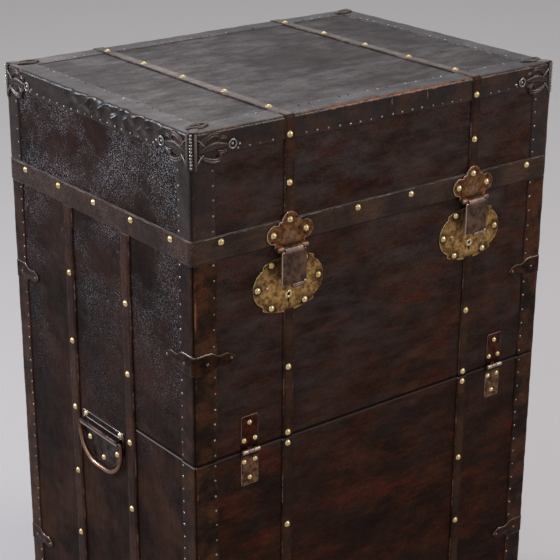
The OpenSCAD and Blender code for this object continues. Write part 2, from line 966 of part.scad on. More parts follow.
module hasp_pins() {
    color("dimgray")
        for (s = sides)
            on_front(s * strap_x, z_hasp, hasp_axis_p)
                translate([-hasp_barrel_w / 2 - pin_end, 0, 0])
                    rotate([0, 90, 0]) cylinder(r = pin_r, h = hasp_barrel_w + 2 * pin_end);
}

// Flap hanging from the hasp's hinge, with its finger lip
module hasp_flap() {
    third = hasp_barrel_w * 0.3 - knuckle_clear;
    flap_p = hasp_barrel_r - 0.5;
    difference() {
        union() {
            translate([-third, 0, 0]) rotate([0, 90, 0]) cylinder(r = hasp_barrel_r, h = 2 * third);
            // root of the flap, bevelled so that it clears the plate when the flap is turned up
            translate([-third, 0, 0])
                rotate([90, 0, 90])
                    linear_extrude(2 * third)
                        polygon([
                            [-1.5 * hasp_barrel_r, flap_p], [-1.5 * hasp_barrel_r, flap_p + flap_t],
                            [-flap_t, flap_p + flap_t], [0.25 * hasp_barrel_r, 0.96 * hasp_barrel_r],
                            [0, 0], [-0.75 * hasp_barrel_r, 0]
                        ]);
            translate([0, 0, flap_p])
                linear_extrude(flap_t)
                    polygon([
                        [-flap_w / 2, -3], [flap_w / 2, -3], [flap_w / 2, 5 - flap_l],
                        [flap_w / 2 - 5, -flap_l], [5 - flap_w / 2, -flap_l],
                        [-flap_w / 2, 5 - flap_l]
                    ]);
            translate([-lip_w / 2, -flap_l - 7, flap_p + flap_t - 0.5]) cube([lip_w, lip_h, flap_t]);
        }
        translate([-far, 0, 0]) rotate([0, 90, 0]) cylinder(r = pin_r + pin_clear, h = 2 * far);
    }
}

module hasp_flap_left() {
    color("#4a3835") on_front(-strap_x, z_hasp, hasp_axis_p) hasp_flap();
}

module hasp_flap_right() {
    color("#4a3835") on_front(strap_x, z_hasp, hasp_axis_p) hasp_flap();
}

// Handles

// Plate under the bail with the sleeve that holds its bar
module handle_plate() {
    bore = bail_r + loose_clear;
    outer = bore + sleeve_wall;
    top = handle_bar_drop;
    low = handle_low;
    side = handle_w / 2;
    foot = handle_foot / 2;
    // Chamfer of the upper corners
    edge = side - sleeve_x;
    difference() {
        union() {
            linear_extrude(iron_t)
                polygon([
                    [-side, top - edge], [-side + edge, top], [side - edge, top],
                    [side, top - edge], [side, -outer], [foot + 8, low + 4], [foot, low],
                    [-foot, low], [-foot - 8, low + 4], [-side, -outer]
                ]);
            translate([-sleeve_x, 0, bail_p]) rotate([0, 90, 0]) cylinder(r = outer, h = 2 * sleeve_x);
            translate([-sleeve_x, -outer, 0]) cube([2 * sleeve_x, 2 * outer, bail_p]);
        }
        translate([-far, 0, bail_p]) rotate([0, 90, 0]) cylinder(r = bore, h = 2 * far);
    }
}

module handle_plates() {
    color("#6a4630")
        for (s = sides)
            on_side(s, 0, z_bail) handle_plate();
}

// D-shaped bail hanging from its top bar, the bar's middle at the origin
module bail() {
    side_l = bail_drop - bail_corner;
    flat_x = bail_x - bail_corner;
    translate([-bail_x, 0, 0]) rotate([0, 90, 0]) cylinder(r = bail_r, h = 2 * bail_x);
    translate([-flat_x - 0.01, -bail_drop, 0])
        rotate([0, 90, 0]) cylinder(r = bail_r, h = 2 * flat_x + 0.02);
    for (x = sides) {
        translate([x * bail_x, 0, 0]) sphere(bail_r);
        translate([x * bail_x, -side_l - 0.01, 0])
            rotate([-90, 0, 0]) cylinder(r = bail_r, h = side_l + 0.01);
        mirror([(1 - x) / 2, 0, 0])
            translate([flat_x, -side_l, 0])
                rotate([0, 0, -90])
                    rotate_extrude(angle = 90, $fn = 64) translate([bail_corner, 0]) circle(bail_r);
    }
}

module bail_left() {
    color("#7a5540") on_side(-1, 0, z_bail, bail_p) bail();
}

module bail_right() {
    color("#7a5540") on_side(1, 0, z_bail, bail_p) bail();
}

// Inside

z_rail = z_part - rail_drop;
rail_end = cavity_x - lining_t;

module rail_sockets() {
    color("#8a8a86")
        for (s = sides)
            translate([s * rail_end, rail_y, z_rail])
                rotate([0, -90 * s, 0])
                    difference() {
                        cylinder(r = socket_r, h = socket_t);
                        translate([0, 0, socket_floor]) cylinder(r = rail_r + loose_clear, h = socket_t);
                    }
}

module garment_rail() {
    reach = rail_end - socket_floor - loose_clear;
    color("#b0aca4")
        translate([-reach, rail_y, z_rail])
            rotate([0, 90, 0])
                difference() {
                    cylinder(r = rail_r, h = 2 * reach);
                    translate([0, 0, -1]) cylinder(r = rail_r - rail_wall, h = 2 * reach + 2);
                }
}

runners();
base_panel();
back_panel();
side_panel_left();
side_panel_right();
front_panel();
carcass_lining();
carcass_hide();
carcass_bindings();
side_straps();
front_lower_straps();
back_straps();
base_irons();
carcass_brackets();
carcass_studs();
handle_plates();
seam_hinge_lower_leaves();
seam_hinge_pins();
lid_hinge_lower_leaves();
lid_hinge_pins();
rail_sockets();
garment_rail();
lid_shell();
lid_lining();
lid_hide();
lid_bindings();
lid_band();
lid_straps();
lid_irons();
lid_studs();
hasp_plates();
hasp_pins();
lid_hinge_upper_leaves();
door_panel();
door_lining();
door_hide();
door_bindings();
door_straps();
door_brackets();
door_studs();
lock_plates();
escutcheons();
lock_cases();
seam_hinge_upper_leaves();
hasp_flap_left();
hasp_flap_right();
bail_left();
bail_right();
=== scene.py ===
"""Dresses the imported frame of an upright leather-covered wardrobe trunk.

Lengths in the functions are millimetres in the frame's own axes: +Z up, front towards -Y. How far a
surface stands off the leather under it is its proud, p. A mesh becomes metres when it is made.
"""

import math
from types import SimpleNamespace

import bmesh
import bpy
import numpy as np
from bpy.props import FloatProperty, FloatVectorProperty, PointerProperty
from mathutils import Matrix, Vector


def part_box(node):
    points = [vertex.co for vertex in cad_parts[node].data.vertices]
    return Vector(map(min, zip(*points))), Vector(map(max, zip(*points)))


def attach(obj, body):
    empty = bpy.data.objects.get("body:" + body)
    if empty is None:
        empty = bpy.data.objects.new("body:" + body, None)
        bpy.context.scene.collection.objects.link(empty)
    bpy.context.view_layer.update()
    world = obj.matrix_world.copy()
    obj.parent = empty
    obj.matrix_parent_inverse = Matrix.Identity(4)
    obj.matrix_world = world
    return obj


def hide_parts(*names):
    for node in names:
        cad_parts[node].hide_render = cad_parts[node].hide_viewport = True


bl_info = {
    "name": "Wardrobe trunk dresser",
    "version": (1, 0, 0),
    "blender": (4, 5, 0),
    "location": "View3D > Sidebar > Trunk",
    "description": "Leather, straps, studs and ironwork of a wardrobe trunk over its packed frame",
    "category": "Object",
}

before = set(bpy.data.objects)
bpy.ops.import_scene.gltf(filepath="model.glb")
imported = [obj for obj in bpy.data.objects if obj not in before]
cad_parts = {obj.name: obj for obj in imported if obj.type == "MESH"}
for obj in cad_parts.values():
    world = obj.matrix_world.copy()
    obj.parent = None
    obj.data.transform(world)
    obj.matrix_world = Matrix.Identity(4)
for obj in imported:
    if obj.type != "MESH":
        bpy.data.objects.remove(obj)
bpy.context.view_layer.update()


def span(node):
    """Lowest and highest corner of a node of the frame, in millimetres."""
    low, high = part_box(node)
    return np.array(low) * 1000, np.array(high) * 1000


# Levels and half sizes that the frame sets
HALF_W, HALF_D, TOP = span("lid_hide")[1]
LID_LOW = span("lid_hide")[0][2]
BAND_TOP = span("lid_band")[1][2]
PART = span("door_hide")[1][2]
DOOR_LOW = span("door_hide")[0][2]
DOOR_REAR = span("door_hide")[1][1]
SEAM = span("front_lower_straps")[1][2]
BASE = span("carcass_hide")[0][2]
STRAP_X = sum(span("hasp_flap_right"))[0] / 2
SIDE_STRAP_Y = span("side_straps")[1][1] - 12  # less half the width of a side strap
SEAM_AXIS = sum(span("seam_hinge_pins"))[2] / 2
LID_AXIS = sum(span("lid_hinge_pins"))[2] / 2
LOCK_Z = sum(span("lock_plates"))[2] / 2
KEY_Z = sum(span("escutcheons"))[2] / 2
HASP_Z = sum(span("hasp_pins"))[2] / 2
HASP_P = -sum(span("hasp_pins"))[1] / 2 - HALF_D
BAIL_TOP = span("bail_left")[1][2]
BRACKET_HIGH = sum(span("door_brackets"))[2] / 2
BRACKET_LOW = TOP - BRACKET_HIGH  # as far below mid-height as the upper row is above it

# Fixed sizes of the fittings, in millimetres
TACK_INSET = 5  # from a binding's edge to its row of tacks
TACK_INSET_NEAR = 4  # the same at the sides and under the lid's edge
IRON_CLEAR, IRON_CLEAR_TOP = 70, 36  # from an arris to the first tack beside an iron
BRACKET_CLEAR = 17  # from the middle of a bracket to the next tack
BRACKET_REACH = 68  # of a bracket along each face
HASP_BARREL_W, HASP_BARREL = 52, 4  # length and radius
TREFOIL_MIDDLE = 17  # of a hasp plate above its barrel
HANDLE_TOP = 17  # of a handle plate above the middle of the bail's bar
SLEEVE_W, SLEEVE = 102, 5.2  # length and radius of the sleeve round a bail's bar
BAIL_ROUND, BAIL_ELBOW = 46, 6  # radius of a bail's wide round and of its upper corners
ROUND_LEAF_POWER, ROUND_FLAP_POWER = 14, 22  # how square the round boxes of leaf and flap are

# The camera, in metres and degrees, at the photographed angle
VIEW_PLACE = (-1.4287, -1.8296, 1.6669)
VIEW_TURNS = ((-38.007, "Z"), (68.709, "X"), (0.316, "Z"))
VIEW_LENS, VIEW_SENSOR = 101.92, 36


def linear(code):
    """sRGB hex colour as linear RGBA."""
    values = [int(code[i : i + 2], 16) / 255 for i in (1, 3, 5)]
    return (*[v / 12.92 if v <= 0.04045 else ((v + 0.055) / 1.055) ** 2.4 for v in values], 1.0)


def length(name, description, millimetres):
    """A size that a user may change, held in metres."""
    return FloatProperty(
        name=name, description=description, default=millimetres / 1000, unit="LENGTH", min=0, precision=5
    )


def colour(name, description, code):
    """A colour that a user may change."""
    return FloatVectorProperty(
        name=name, description=description, default=linear(code), size=4, subtype="COLOR", min=0, max=1
    )


class TrunkSizes(bpy.types.PropertyGroup):
    """Sizes of the leather, the tacks and the metalwork"""

    arris: length("Arris radius", "Radius of the leather's outer arrises", 4.5)
    binding: length("Binding thickness", "Thickness of the leather bindings", 1.5)
    binding_top: length("Binding on the top", "Width of the edge binding on the lid's top", 35)
    binding_drop: length("Binding down the sides", "Width of the edge binding below the top", 32)
    binding_front: length("Corner binding, front", "Width of a corner binding on the front", 37)
    binding_side: length("Corner binding, side", "Width of a corner binding on the side", 32)
    strap: length("Strap thickness", "Thickness of the straps and the band", 3)
    strap_w: length("Strap width", "Width of the straps over the lid and down the front", 17)
    side_strap_w: length("Side strap width", "Width of the side straps", 24)
    tack: length("Tack radius", "Radius of a binding tack", 1.8)
    tack_h: length("Tack height", "Height of a binding tack", 1.2)
    tack_pitch: length("Tack spacing", "Spacing of the tacks along the lid's edges", 19)
    front_pitch: length("Front tack spacing", "Spacing of the tacks down the corners, front and back", 23)
    side_pitch: length("Side tack spacing", "Spacing of the tacks down the corners, sides", 19)
    iron_drop: length("Corner iron drop", "Reach of a corner iron down the arris", 50)
    lock_w: length("Lock plate width", "Width of a lock plate", 122)
    lock_h: length("Lock plate height", "Height of a lock plate", 83)
    plate: length("Plate thickness", "Thickness of the lock and hasp plates", 1.5)
    flap_w: length("Flap width", "Width of a hasp flap", 43)
    flap_l: length("Flap length", "Length of a hasp flap below its hinge", 52)
    hinge_w: length("Hinge width", "Length of a hinge barrel on the fall front", 30)
    leaf_h: length("Leaf height", "Height of a hinge leaf on the fall front", 54)
    lid_hinge_w: length("Lid hinge width", "Length of a hinge barrel on the lid", 52)
    lid_leaf_h: length("Lid leaf height", "Height of a hinge leaf on the lid", 32)
    barrel: length("Barrel radius", "Radius of a hinge barrel", 3.5)
    leaf: length("Leaf thickness", "Thickness of a hinge leaf", 1.5)
    handle_w: length("Handle plate width", "Width of a handle plate", 112)
    handle_h: length("Handle plate height", "Height of a handle plate", 70)
    bail_x: length("Bail half width", "Half the width of a bail, at the middle of its bar", 57)
    bail_drop: length("Bail drop", "Drop of a bail, at the middle of its bar", 58)
    bail: length("Bail radius", "Radius of a bail's bar", 3.6)


class TrunkColours(bpy.types.PropertyGroup):
    """Colours of the leather, the metals and the lining"""

    front: colour("Front leather", "Deep brown of the front", "#2c170e")
    front_warm: colour("Warm leather", "Red-brown that shows where the front is rubbed", "#562413")
    front_dark: colour("Dark leather", "Darkest waxed places", "#1a0e09")
    side: colour("Side leather", "Near-black brown of the sides", "#190f0a")
    side_warm: colour("Side brown", "Browner places of the sides", "#3d2418")
    lid_top: colour("Top leather", "Dusty grey-brown of the lid's top", "#6f6866")
    lid_top_dark: colour("Top streaks", "Dark streaks of the lid's top", "#413c3a")
    binding: colour("Binding leather", "Dark brown of the bindings", "#1a100b")
    binding_warm: colour("Binding brown", "Browner places of the bindings", "#4a2b1a")
    worn: colour("Worn leather", "Bare rusty leather where an edge is rubbed", "#7c4c32")
    strap: colour("Strap leather", "Dark brown of the straps", "#23130b")
    strap_warm: colour("Strap brown", "Browner places of the straps", "#3f2518")
    band: colour("Band leather", "Grey-brown of the band", "#2a1f1a")
    band_warm: colour("Band brown", "Browner places of the band", "#473226")
    brass: colour("Stud brass", "Pale brass of the studs", "#f0dcae")
    lock: colour("Lock brass", "Aged brass of the lock plates", "#c5a063")
    lock_dark: colour("Lock tarnish", "Dark tarnish of the lock plates", "#6a4529")
    copper: colour("Copper", "Coppery brown of the hasps", "#9a6c44")
    iron: colour("Iron", "Dark grey-brown of the corner irons", "#423c39")
    lining: colour("Lining", "Cloth on the boards inside", "#a58f70")
    board: colour("Board", "Softwood of the boards", "#9a7450")


def measures():
    """The sizes in millimetres, by name."""
    held = bpy.context.scene.trunk_sizes
    return SimpleNamespace(**{k: getattr(held, k) * 1000 for k in TrunkSizes.__annotations__})


def tone(name):
    """A colour by its name, as linear RGBA."""
    return tuple(getattr(bpy.context.scene.trunk_colours, name))


# Places on the trunk


def rim_steps():
    """Straight half sides of the plan inside its round arrises, and the length of a quarter turn."""
    arris = measures().arris
    return HALF_W - arris, HALF_D - arris, math.pi / 2 * arris


def rim(walk, p, z):
    """Point `walk` round the plan's outline, starting at the middle of the back towards +X, p off the
    leather, at height z. The outline is a rectangle grown by the arris radius: each straight side
    keeps its way out, each corner turns it by 90 degrees. Where p lies deeper than the arris radius
    the rectangle shrinks instead, so the corners mitre."""
    x, y, bend = rim_steps()
    arris = measures().arris
    knots = np.cumsum([0, x, bend, 2 * y, bend, 2 * x, bend, 2 * y, bend, x])
    walk = np.mod(walk, knots[-1])
    across = np.interp(walk, knots, [0, 1, 1, 1, 1, -1, -1, -1, -1, 0])
    depth = np.interp(walk, knots, [1, 1, 1, -1, -1, -1, -1, 1, 1, 1])
    turn = np.interp(walk, knots, [1, 1, 0, 0, -1, -1, -2, -2, -3, -3]) * math.pi / 2
    off, shrink = np.maximum(arris + p, 0), np.maximum(-arris - p, 0)
    px = across * (x - shrink) + off * np.cos(turn)
    py = depth * (y - shrink) + off * np.sin(turn)
    return np.stack(np.broadcast_arrays(px, py, z), -1).astype(float)


def round_sides(walk, z, p):
    """The same point, with the surface's two measures first."""
    return rim(walk, p, z)


def rim_out(walk):
    """Way out of the upright faces."""
    return rim(walk, 1.0, 0.0) - rim(walk, 0.0, 0.0)


def rim_length():
    """Length once round the plan's outline."""
    x, y, bend = rim_steps()
    return 4 * (x + y + bend)


def walk_to(face, t):
    """Walk to the place t on a face: t is x on the front and back, and y on the sides."""
    quarters = ("back", "right", "front", "left").index(face)
    return quarters * rim_length() / 4 + (t if face in ("back", "left") else -t)


def corner_walk(corner):
    """Walk to the middle of an arris, and +1 if walking on leads onto the side face."""
    x, y, bend = rim_steps()
    number = {"back_right": 0, "front_right": 1, "front_left": 2, "back_left": 3}[corner]
    middle = [x, x + 2 * y + bend, 3 * x + 2 * y + 2 * bend, 3 * x + 4 * y + 3 * bend][number]
    return middle + bend / 2, 1 if number % 2 == 0 else -1


def round_corner(corner, d, z, p):
    """Point near an upright arris: d runs from the arris along the front or back face, and negative
    along the side face. Near the sharp corner d follows the round arris."""
    middle, onward = corner_walk(corner)
    return rim(middle - onward * bent(d), p, z)


def corner_out(corner, d, z):
    """Way out of the leather near an upright arris."""
    return round_corner(corner, d, z, 1.0) - round_corner(corner, d, z, 0.0)


def bent(d):
    """Length along the round arris's surface for the distance d from the sharp corner."""
    arris = measures().arris
    slack = arris * (1 - math.pi / 4)
    return np.sign(d) * np.where(np.abs(d) > arris, np.abs(d) - slack, np.abs(d) * math.pi / 4)


def over_rim(walk, d, p):
    """Point on the lid's edge: d runs from the top arris inwards over the top, and negative down the
    side, following the round arris."""
    arris = measures().arris
    d = bent(d)
    half = math.pi / 4 * arris
    turn = np.clip(d, -half, half) / arris + math.pi / 4
    beyond = d - np.clip(d, -half, half)
    inwards = -arris + (arris + p) * np.cos(turn) - np.maximum(beyond, 0)
    return rim(walk, inwards, TOP - arris + (arris + p) * np.sin(turn) + np.minimum(beyond, 0))


def on_face(face, t, z, p):
    """Point on an upright face: t across it, height z, p off the leather."""
    t, z, p = np.broadcast_arrays(*[np.asarray(k, float) for k in (t, z, p)])
    if face in ("front", "back"):
        side = -1 if face == "front" else 1
        return np.stack([t, side * (HALF_D + p), z], -1)
    side = -1 if face == "left" else 1
    return np.stack([side * (HALF_W + p), t, z], -1)


OUT = {"front": (0, -1, 0), "back": (0, 1, 0), "left": (-1, 0, 0), "right": (1, 0, 0), "top": (0, 0, 1)}
CORNERS = ("front_left", "front_right", "back_left", "back_right")


def wander(t, seed, waves):
    """Slow wandering of a hand-cut line: the sum of sines, each with a length and a height, whose
    phases are drawn from the seed."""
    rng = np.random.default_rng(seed)
    return sum(h * np.sin(2 * np.pi * np.asarray(t) / l + rng.uniform(0, 6.28)) for l, h in waves)


def ripple(a, b, seed, waves):
    """The same over a surface: each sine runs in a direction drawn from the seed."""
    rng = np.random.default_rng(seed)
    total = 0
    for l, h in waves:
        way, phase = rng.uniform(0, 3.14), rng.uniform(0, 6.28)
        total = total + h * np.sin(2 * np.pi * (a * np.cos(way) + b * np.sin(way)) / l + phase)
    return total


def hump(t, middle, width, power=2):
    """Smooth hump: exp(-((t - middle) / width)^power)."""
    return np.exp(-(((t - middle) / width) ** power))


# Surfaces


class Shell:
    """Grids of points gathered into one mesh, each point with its wear from 0 to 1."""

    def __init__(self):
        self.points, self.faces, self.worn, self.count = [], [], [], 0

    def add(self, grid, close_u=False, close_v=True, worn=0.0):
        """Adds one grid (m, n, 3), or many alike (k, m, n, 3), as quads."""
        grids = grid.reshape((-1,) + grid.shape[-3:])
        k, m, n = grids.shape[:3]
        i = np.arange(m if close_u else m - 1)[:, None]
        j = np.arange(n if close_v else n - 1)[None, :]
        after_i, after_j = (i + 1) % m, (j + 1) % n
        quad = np.stack([i * n + j, after_i * n + j, after_i * n + after_j, i * n + after_j], -1)
        first = self.count + np.arange(k) * m * n
        self.faces.append((quad.reshape(1, -1, 4) + first[:, None, None]).reshape(-1, 4))
        self.points.append(grids.reshape(-1, 3))
        self.worn.append(np.broadcast_to(worn, grids.shape[:3]).ravel())
        self.count += k * m * n
        return self

    def piece(self, name, body, material, replaces=(), crease=50, slot=None):
        """Makes the mesh in metres, closes its seams and poles, turns its faces outwards, and hands
        it to the body that carries it."""
        mesh = bpy.data.meshes.new(name)
        mesh.from_pydata(np.concatenate(self.points) / 1000, [], np.concatenate(self.faces))
        mesh.attributes.new("worn", "FLOAT", "POINT").data.foreach_set(
            "value", np.concatenate(self.worn).astype(np.float32)
        )
        work = bmesh.new()
        work.from_mesh(mesh)
        bmesh.ops.remove_doubles(work, verts=work.verts, dist=2e-6)
        bmesh.ops.recalc_face_normals(work, faces=work.faces)
        work.to_mesh(mesh)
        work.free()
        mesh.shade_smooth()
        mesh.set_sharp_from_angle(angle=math.radians(crease))
        mesh.materials.append(finish_of(material))
        made = bpy.data.objects.new(name, mesh)
        bpy.context.scene.collection.objects.link(made)
        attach(made, body)
        if replaces:
            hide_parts(*replaces)
        return made


def capped(grid):
    """The grid with a last ring at each end drawn in to its middle, which closes the ends."""
    first, last = grid[:1].mean(1, keepdims=True), grid[-1:].mean(1, keepdims=True)
    ends = [np.broadcast_to(k, grid[:1].shape) for k in (first, last)]
    return np.concatenate([ends[0], grid, ends[1]])


def skin(shell, place, u, low, high, thick, inner, lift=None, worn=None, close_u=False):
    """Thin closed sheet on a surface. place(u, d, p) gives the surface; d runs from low to high, which
    may wander with u, over the fixed lines `inner`. The face stands `thick` high and drops to nothing
    in a round edge 1.2 mm wide; lift(u, d) adds wrinkles and worn(u, d) gives the wear, below 0 for a
    dirty seam. The underside lies 0.05 mm off."""
    u = np.asarray(u, float)[:, None]
    low, high = (np.broadcast_to(np.asarray(k, float).reshape(-1, 1), u.shape) for k in (low, high))
    edge = np.array([[0, 0.25, 0.8, 1.6]])
    d = np.concatenate([low + edge, inner[None] + 0 * u, high - edge[:, ::-1]], 1)
    rise = np.minimum(d - low, high - d) / 1.2
    if not close_u:
        ends = np.minimum(np.arange(len(u)), np.arange(len(u))[::-1])[:, None]
        rise = np.minimum(rise, ends * 2.0)
    rise = np.sqrt(1 - (1 - np.clip(rise, 0, 1)) ** 2)
    p = 0.05 + (np.maximum(thick + (lift(u, d) if lift else 0), 0.4) - 0.05) * rise
    face, back = place(u, d, p), place(u, d[:, ::-1], 0.05 + 0 * p)
    wear = (worn(u, d) if worn else 0) * rise
    grid = np.concatenate([face, back[:, 1:-1]], 1)
    wear = np.concatenate([np.broadcast_to(wear, d.shape), np.zeros_like(d[:, 1:-1])], 1)
    shell.add(grid, close_u=close_u, worn=wear)


def strap_section(width, thick):
    """Half-round edged strap section with a tooled crease near each edge, as points across and up."""
    w = width / 2
    half = np.array(
        [(w, 0.05), (w, 0.55 * thick), (w - 0.35, 0.85 * thick), (w - 1.1, thick), (w - 2.1, thick),
         (w - 2.6, 0.82 * thick), (w - 3.2, thick), (w / 2, thick), (0, thick)]
    )
    return np.concatenate([half, half[-2::-1] * (-1, 1)])


def ribbon(shell, path, out, across, section, drift=0.0, worn=0.0):
    """Section carried along a path: point = path + across * (a + drift) + out * h. Only its two upper
    edges wear."""
    across = np.asarray(across, float)
    a, h = section[:, 0], section[:, 1]
    shift = np.broadcast_to(np.asarray(drift, float).reshape(-1, 1), (len(path), len(a)))
    grid = path[:, None] + across * (a + shift)[..., None] + out[:, None] * h[:, None]
    edge = np.clip((np.abs(a) - np.abs(a).max() + 2.2) / 2, 0, 1) * (h > 0.1)
    wear = np.broadcast_to(worn, (len(path), 1)) * edge[None]
    shell.add(capped(grid), worn=np.concatenate([wear[:1] * 0, wear, wear[:1] * 0]))


def domes(shell, at, out, radius, height, rings=4, sides=10, worn=0.0):
    """Domed heads: caps of a ball at each place, point = place + side * b sin f cos a
    + side2 * b sin f sin a + out * (b cos f + height - b), with a flat foot just under it."""
    at, out = np.atleast_2d(at).astype(float), np.atleast_2d(out).astype(float)
    out = np.broadcast_to(out, at.shape)
    ball = (radius**2 + height**2) / (2 * height)
    widest = math.asin(min(1, radius / ball))
    f = np.linspace(widest, 0, rings + 1)
    r = np.concatenate([[0, radius], ball * np.sin(f)])
    h = np.concatenate([[-0.15, -0.15], ball * np.cos(f) + height - ball])
    helper = np.where(np.abs(out[:, 2:]) > 0.5, [[1.0, 0, 0]], [[0, 0, 1.0]])
    side = np.cross(out, helper)
    side /= np.linalg.norm(side, axis=1, keepdims=True)
    other = np.cross(out, side)
    a = np.arange(sides) / sides * 2 * np.pi
    ring = side[:, None] * np.cos(a)[None, :, None] + other[:, None] * np.sin(a)[None, :, None]
    spread = r[None, :, None, None] * ring[:, None]
    raised = h[None, :, None, None] * out[:, None, None]
    shell.add(at[:, None, None] + spread + raised, worn=worn)


def tube(shell, path, radius, normal, sides=12, close_u=False, flat=1.0, worn=0.0):
    """Bar along a path in a plane with that normal: point = path + r (side cos a + flat normal sin a),
    with side square to the path and the normal. The ends are drawn in to round noses."""
    path, normal = np.asarray(path, float), np.asarray(normal, float)
    if close_u:
        way = np.roll(path, -1, 0) - np.roll(path, 1, 0)
    else:
        way = np.gradient(path, axis=0)
    side = np.cross(way, normal)
    side /= np.linalg.norm(side, axis=1, keepdims=True)
    a = np.arange(sides) / sides * 2 * np.pi
    ring = side[:, None] * np.cos(a)[None, :, None] + flat * normal * np.sin(a)[None, :, None]
    grid = path[:, None] + np.broadcast_to(radius, len(path)).reshape(-1, 1, 1) * ring
    shell.add(grid if close_u else capped(grid), close_u=close_u, worn=worn)


def turned(shell, origin, axis, profile, sides=20, worn=0.0):
    """Turned piece: profile (along, radius) spun round an axis through the origin."""
    axis = np.asarray(axis, float)
    helper = np.array([0.0, 0, 1]) if abs(axis[2]) < 0.5 else np.array([1.0, 0, 0])
    side = np.cross(axis, helper)
    side /= np.linalg.norm(side)
    other = np.cross(axis, side)
    along, radius = np.asarray(profile, float).T
    a = np.arange(sides) / sides * 2 * np.pi
    ring = side * np.cos(a)[:, None] + other * np.sin(a)[:, None]
    grid = np.asarray(origin) + along[:, None, None] * axis + radius[:, None, None] * ring[None]
    shell.add(grid, worn=worn)


def barrel_profile(start, end, radius, nose=0.6):
    """Profile of a hinge knuckle: a cylinder with small round shoulders and closed ends."""
    turn = 0.3 * nose
    return [(start, 0), (start, radius - nose), (start + turn, radius - turn), (start + nose, radius),
            (end - nose, radius), (end - turn, radius - turn), (end, radius - nose), (end, 0)]


def reach_circle(way, x, y, r):
    """Farthest hit of rays from the origin on a circle, by angle; 0 where they miss."""
    along = x * np.cos(way) + y * np.sin(way)
    inside = r * r - (x * x + y * y - along * along)
    far = along + np.sqrt(np.abs(inside))
    return np.where((inside > 0) & (far > 0), far, 0)


def reach_box(way, left, right, low, high):
    """Farthest hit of rays from the origin, which lies in the box, on its sides."""
    c, s = np.cos(way), np.sin(way)
    with np.errstate(divide="ignore"):
        tx = np.where(c > 0, right / np.where(c == 0, 1e-9, c), left / np.where(c == 0, -1e-9, c))
        ty = np.where(s > 0, high / np.where(s == 0, 1e-9, s), low / np.where(s == 0, -1e-9, s))
    return np.minimum(tx, ty)


def round_box(way, half_a, half_b, power):
    """Reach of a rectangle with small round corners: |a / half_a|^power + |b / half_b|^power = 1."""
    return ((np.abs(np.cos(way)) / half_a) ** power + (np.abs(np.sin(way)) / half_b) ** power) ** (-1 / power)


def plate(shell, place, outer, profile, inner=None, centre=(0, 0), relief=None, worn=None, angles=160):
    """Plate whose outline is the reach of rays from a centre, by angle. profile is rings of
    (share of the way out, inset from the outline, height); a hole's edge has its own reach.
    place(a, b, p) puts the plate on its face, and relief(a, b) adds to the height of its field."""
    way = np.arange(angles) / angles * 2 * np.pi
    far = outer(way)[:, None]
    near = (inner(way) if inner else np.zeros(angles))[:, None]
    share, inset, height = (np.array(k)[None] for k in zip(*profile))
    r = near + (far - near) * share - inset
    a, b = centre[0] + r * np.cos(way)[:, None], centre[1] + r * np.sin(way)[:, None]
    field = (inset > 0) | ((share < 1) & (height > 0.3))
    p = np.broadcast_to(height, a.shape) + (relief(a, b) * field if relief else 0)
    wear = worn(a, b, far - r) if worn else 0.0
    shell.add(place(a, b, p), close_u=True, close_v=inner is not None, worn=wear)


def plate_profile(base, thick, bevel=0.5, rim_rise=0.0, fields=6):
    """Rings of a plate on a height `base`: underside, side, round edge, a raised rim and the field."""
    top = base + thick
    side = [(0, 0, base), (1, 0, base), (1, 0, top - bevel), (1, 0.3 * bevel, top - 0.3 * bevel + rim_rise)]
    border = [(1, bevel, top + rim_rise), (1, bevel + 0.9, top + rim_rise), (1, bevel + 1.7, top)]
    return side + border + [(k, 0.001, top) for k in np.linspace(0.86, 0, fields)]


def blade(shell, place, spine, width, base, crown, vein=0.0, steps=22, across=9, worn=0.6):
    """Pressed leaf: a spine through a few points, smoothed, with a half width along it, and a height
    base + crown * (1 - t^2)^0.6, less a vein along its middle; t runs -1 to 1 across."""
    spine, width = np.asarray(spine, float), np.asarray(width, float)
    knots = np.linspace(0, 1, len(spine))
    u = np.linspace(0, 1, steps)
    line = np.stack([smooth_through(knots, spine[:, k], u) for k in (0, 1)], -1)
    half = np.maximum(smooth_through(knots, width, u), 0)
    half[[0, -1]] = 0
    way = np.gradient(line, axis=0)
    way /= np.linalg.norm(way, axis=1, keepdims=True)
    side = np.stack([-way[:, 1], way[:, 0]], -1)
    t = np.linspace(-1, 1, across)[None]
    a = line[:, :1] + side[:, :1] * half[:, None] * t
    b = line[:, 1:] + side[:, 1:] * half[:, None] * t
    full = np.clip(half / max(half.max(), 1e-6), 0, 1)[:, None]
    p = base + crown * full**0.6 * np.clip(1 - t**2, 0, 1) ** 0.6 - vein * full * hump(t, 0, 0.2)
    high = full**0.6 * hump(np.abs(t), 0.4, 0.35) * worn
    low_a, low_b = a[:, 1:-1][:, ::-1], b[:, 1:-1][:, ::-1]
    grid = np.concatenate([place(a, b, p), place(low_a, low_b, base - 0.6 + 0 * low_a)], 1)
    shell.add(grid, worn=np.concatenate([high, 0 * low_a], 1))


def smooth_through(knots, values, u):
    """Smooth curve through values at evenly spaced knots: cubic between each two, with the slope at
    a knot from its neighbours."""
    slope = np.gradient(values, knots)
    k = np.clip(np.searchsorted(knots, u, side="right") - 1, 0, len(knots) - 2)
    step = knots[1] - knots[0]
    t = (u - knots[k]) / step
    return (
        (2 * t**3 - 3 * t**2 + 1) * values[k] + (t**3 - 2 * t**2 + t) * step * slope[k]
        + (3 * t**2 - 2 * t**3) * values[k + 1] + (t**3 - t**2) * step * slope[k + 1]
    )


# Finishes


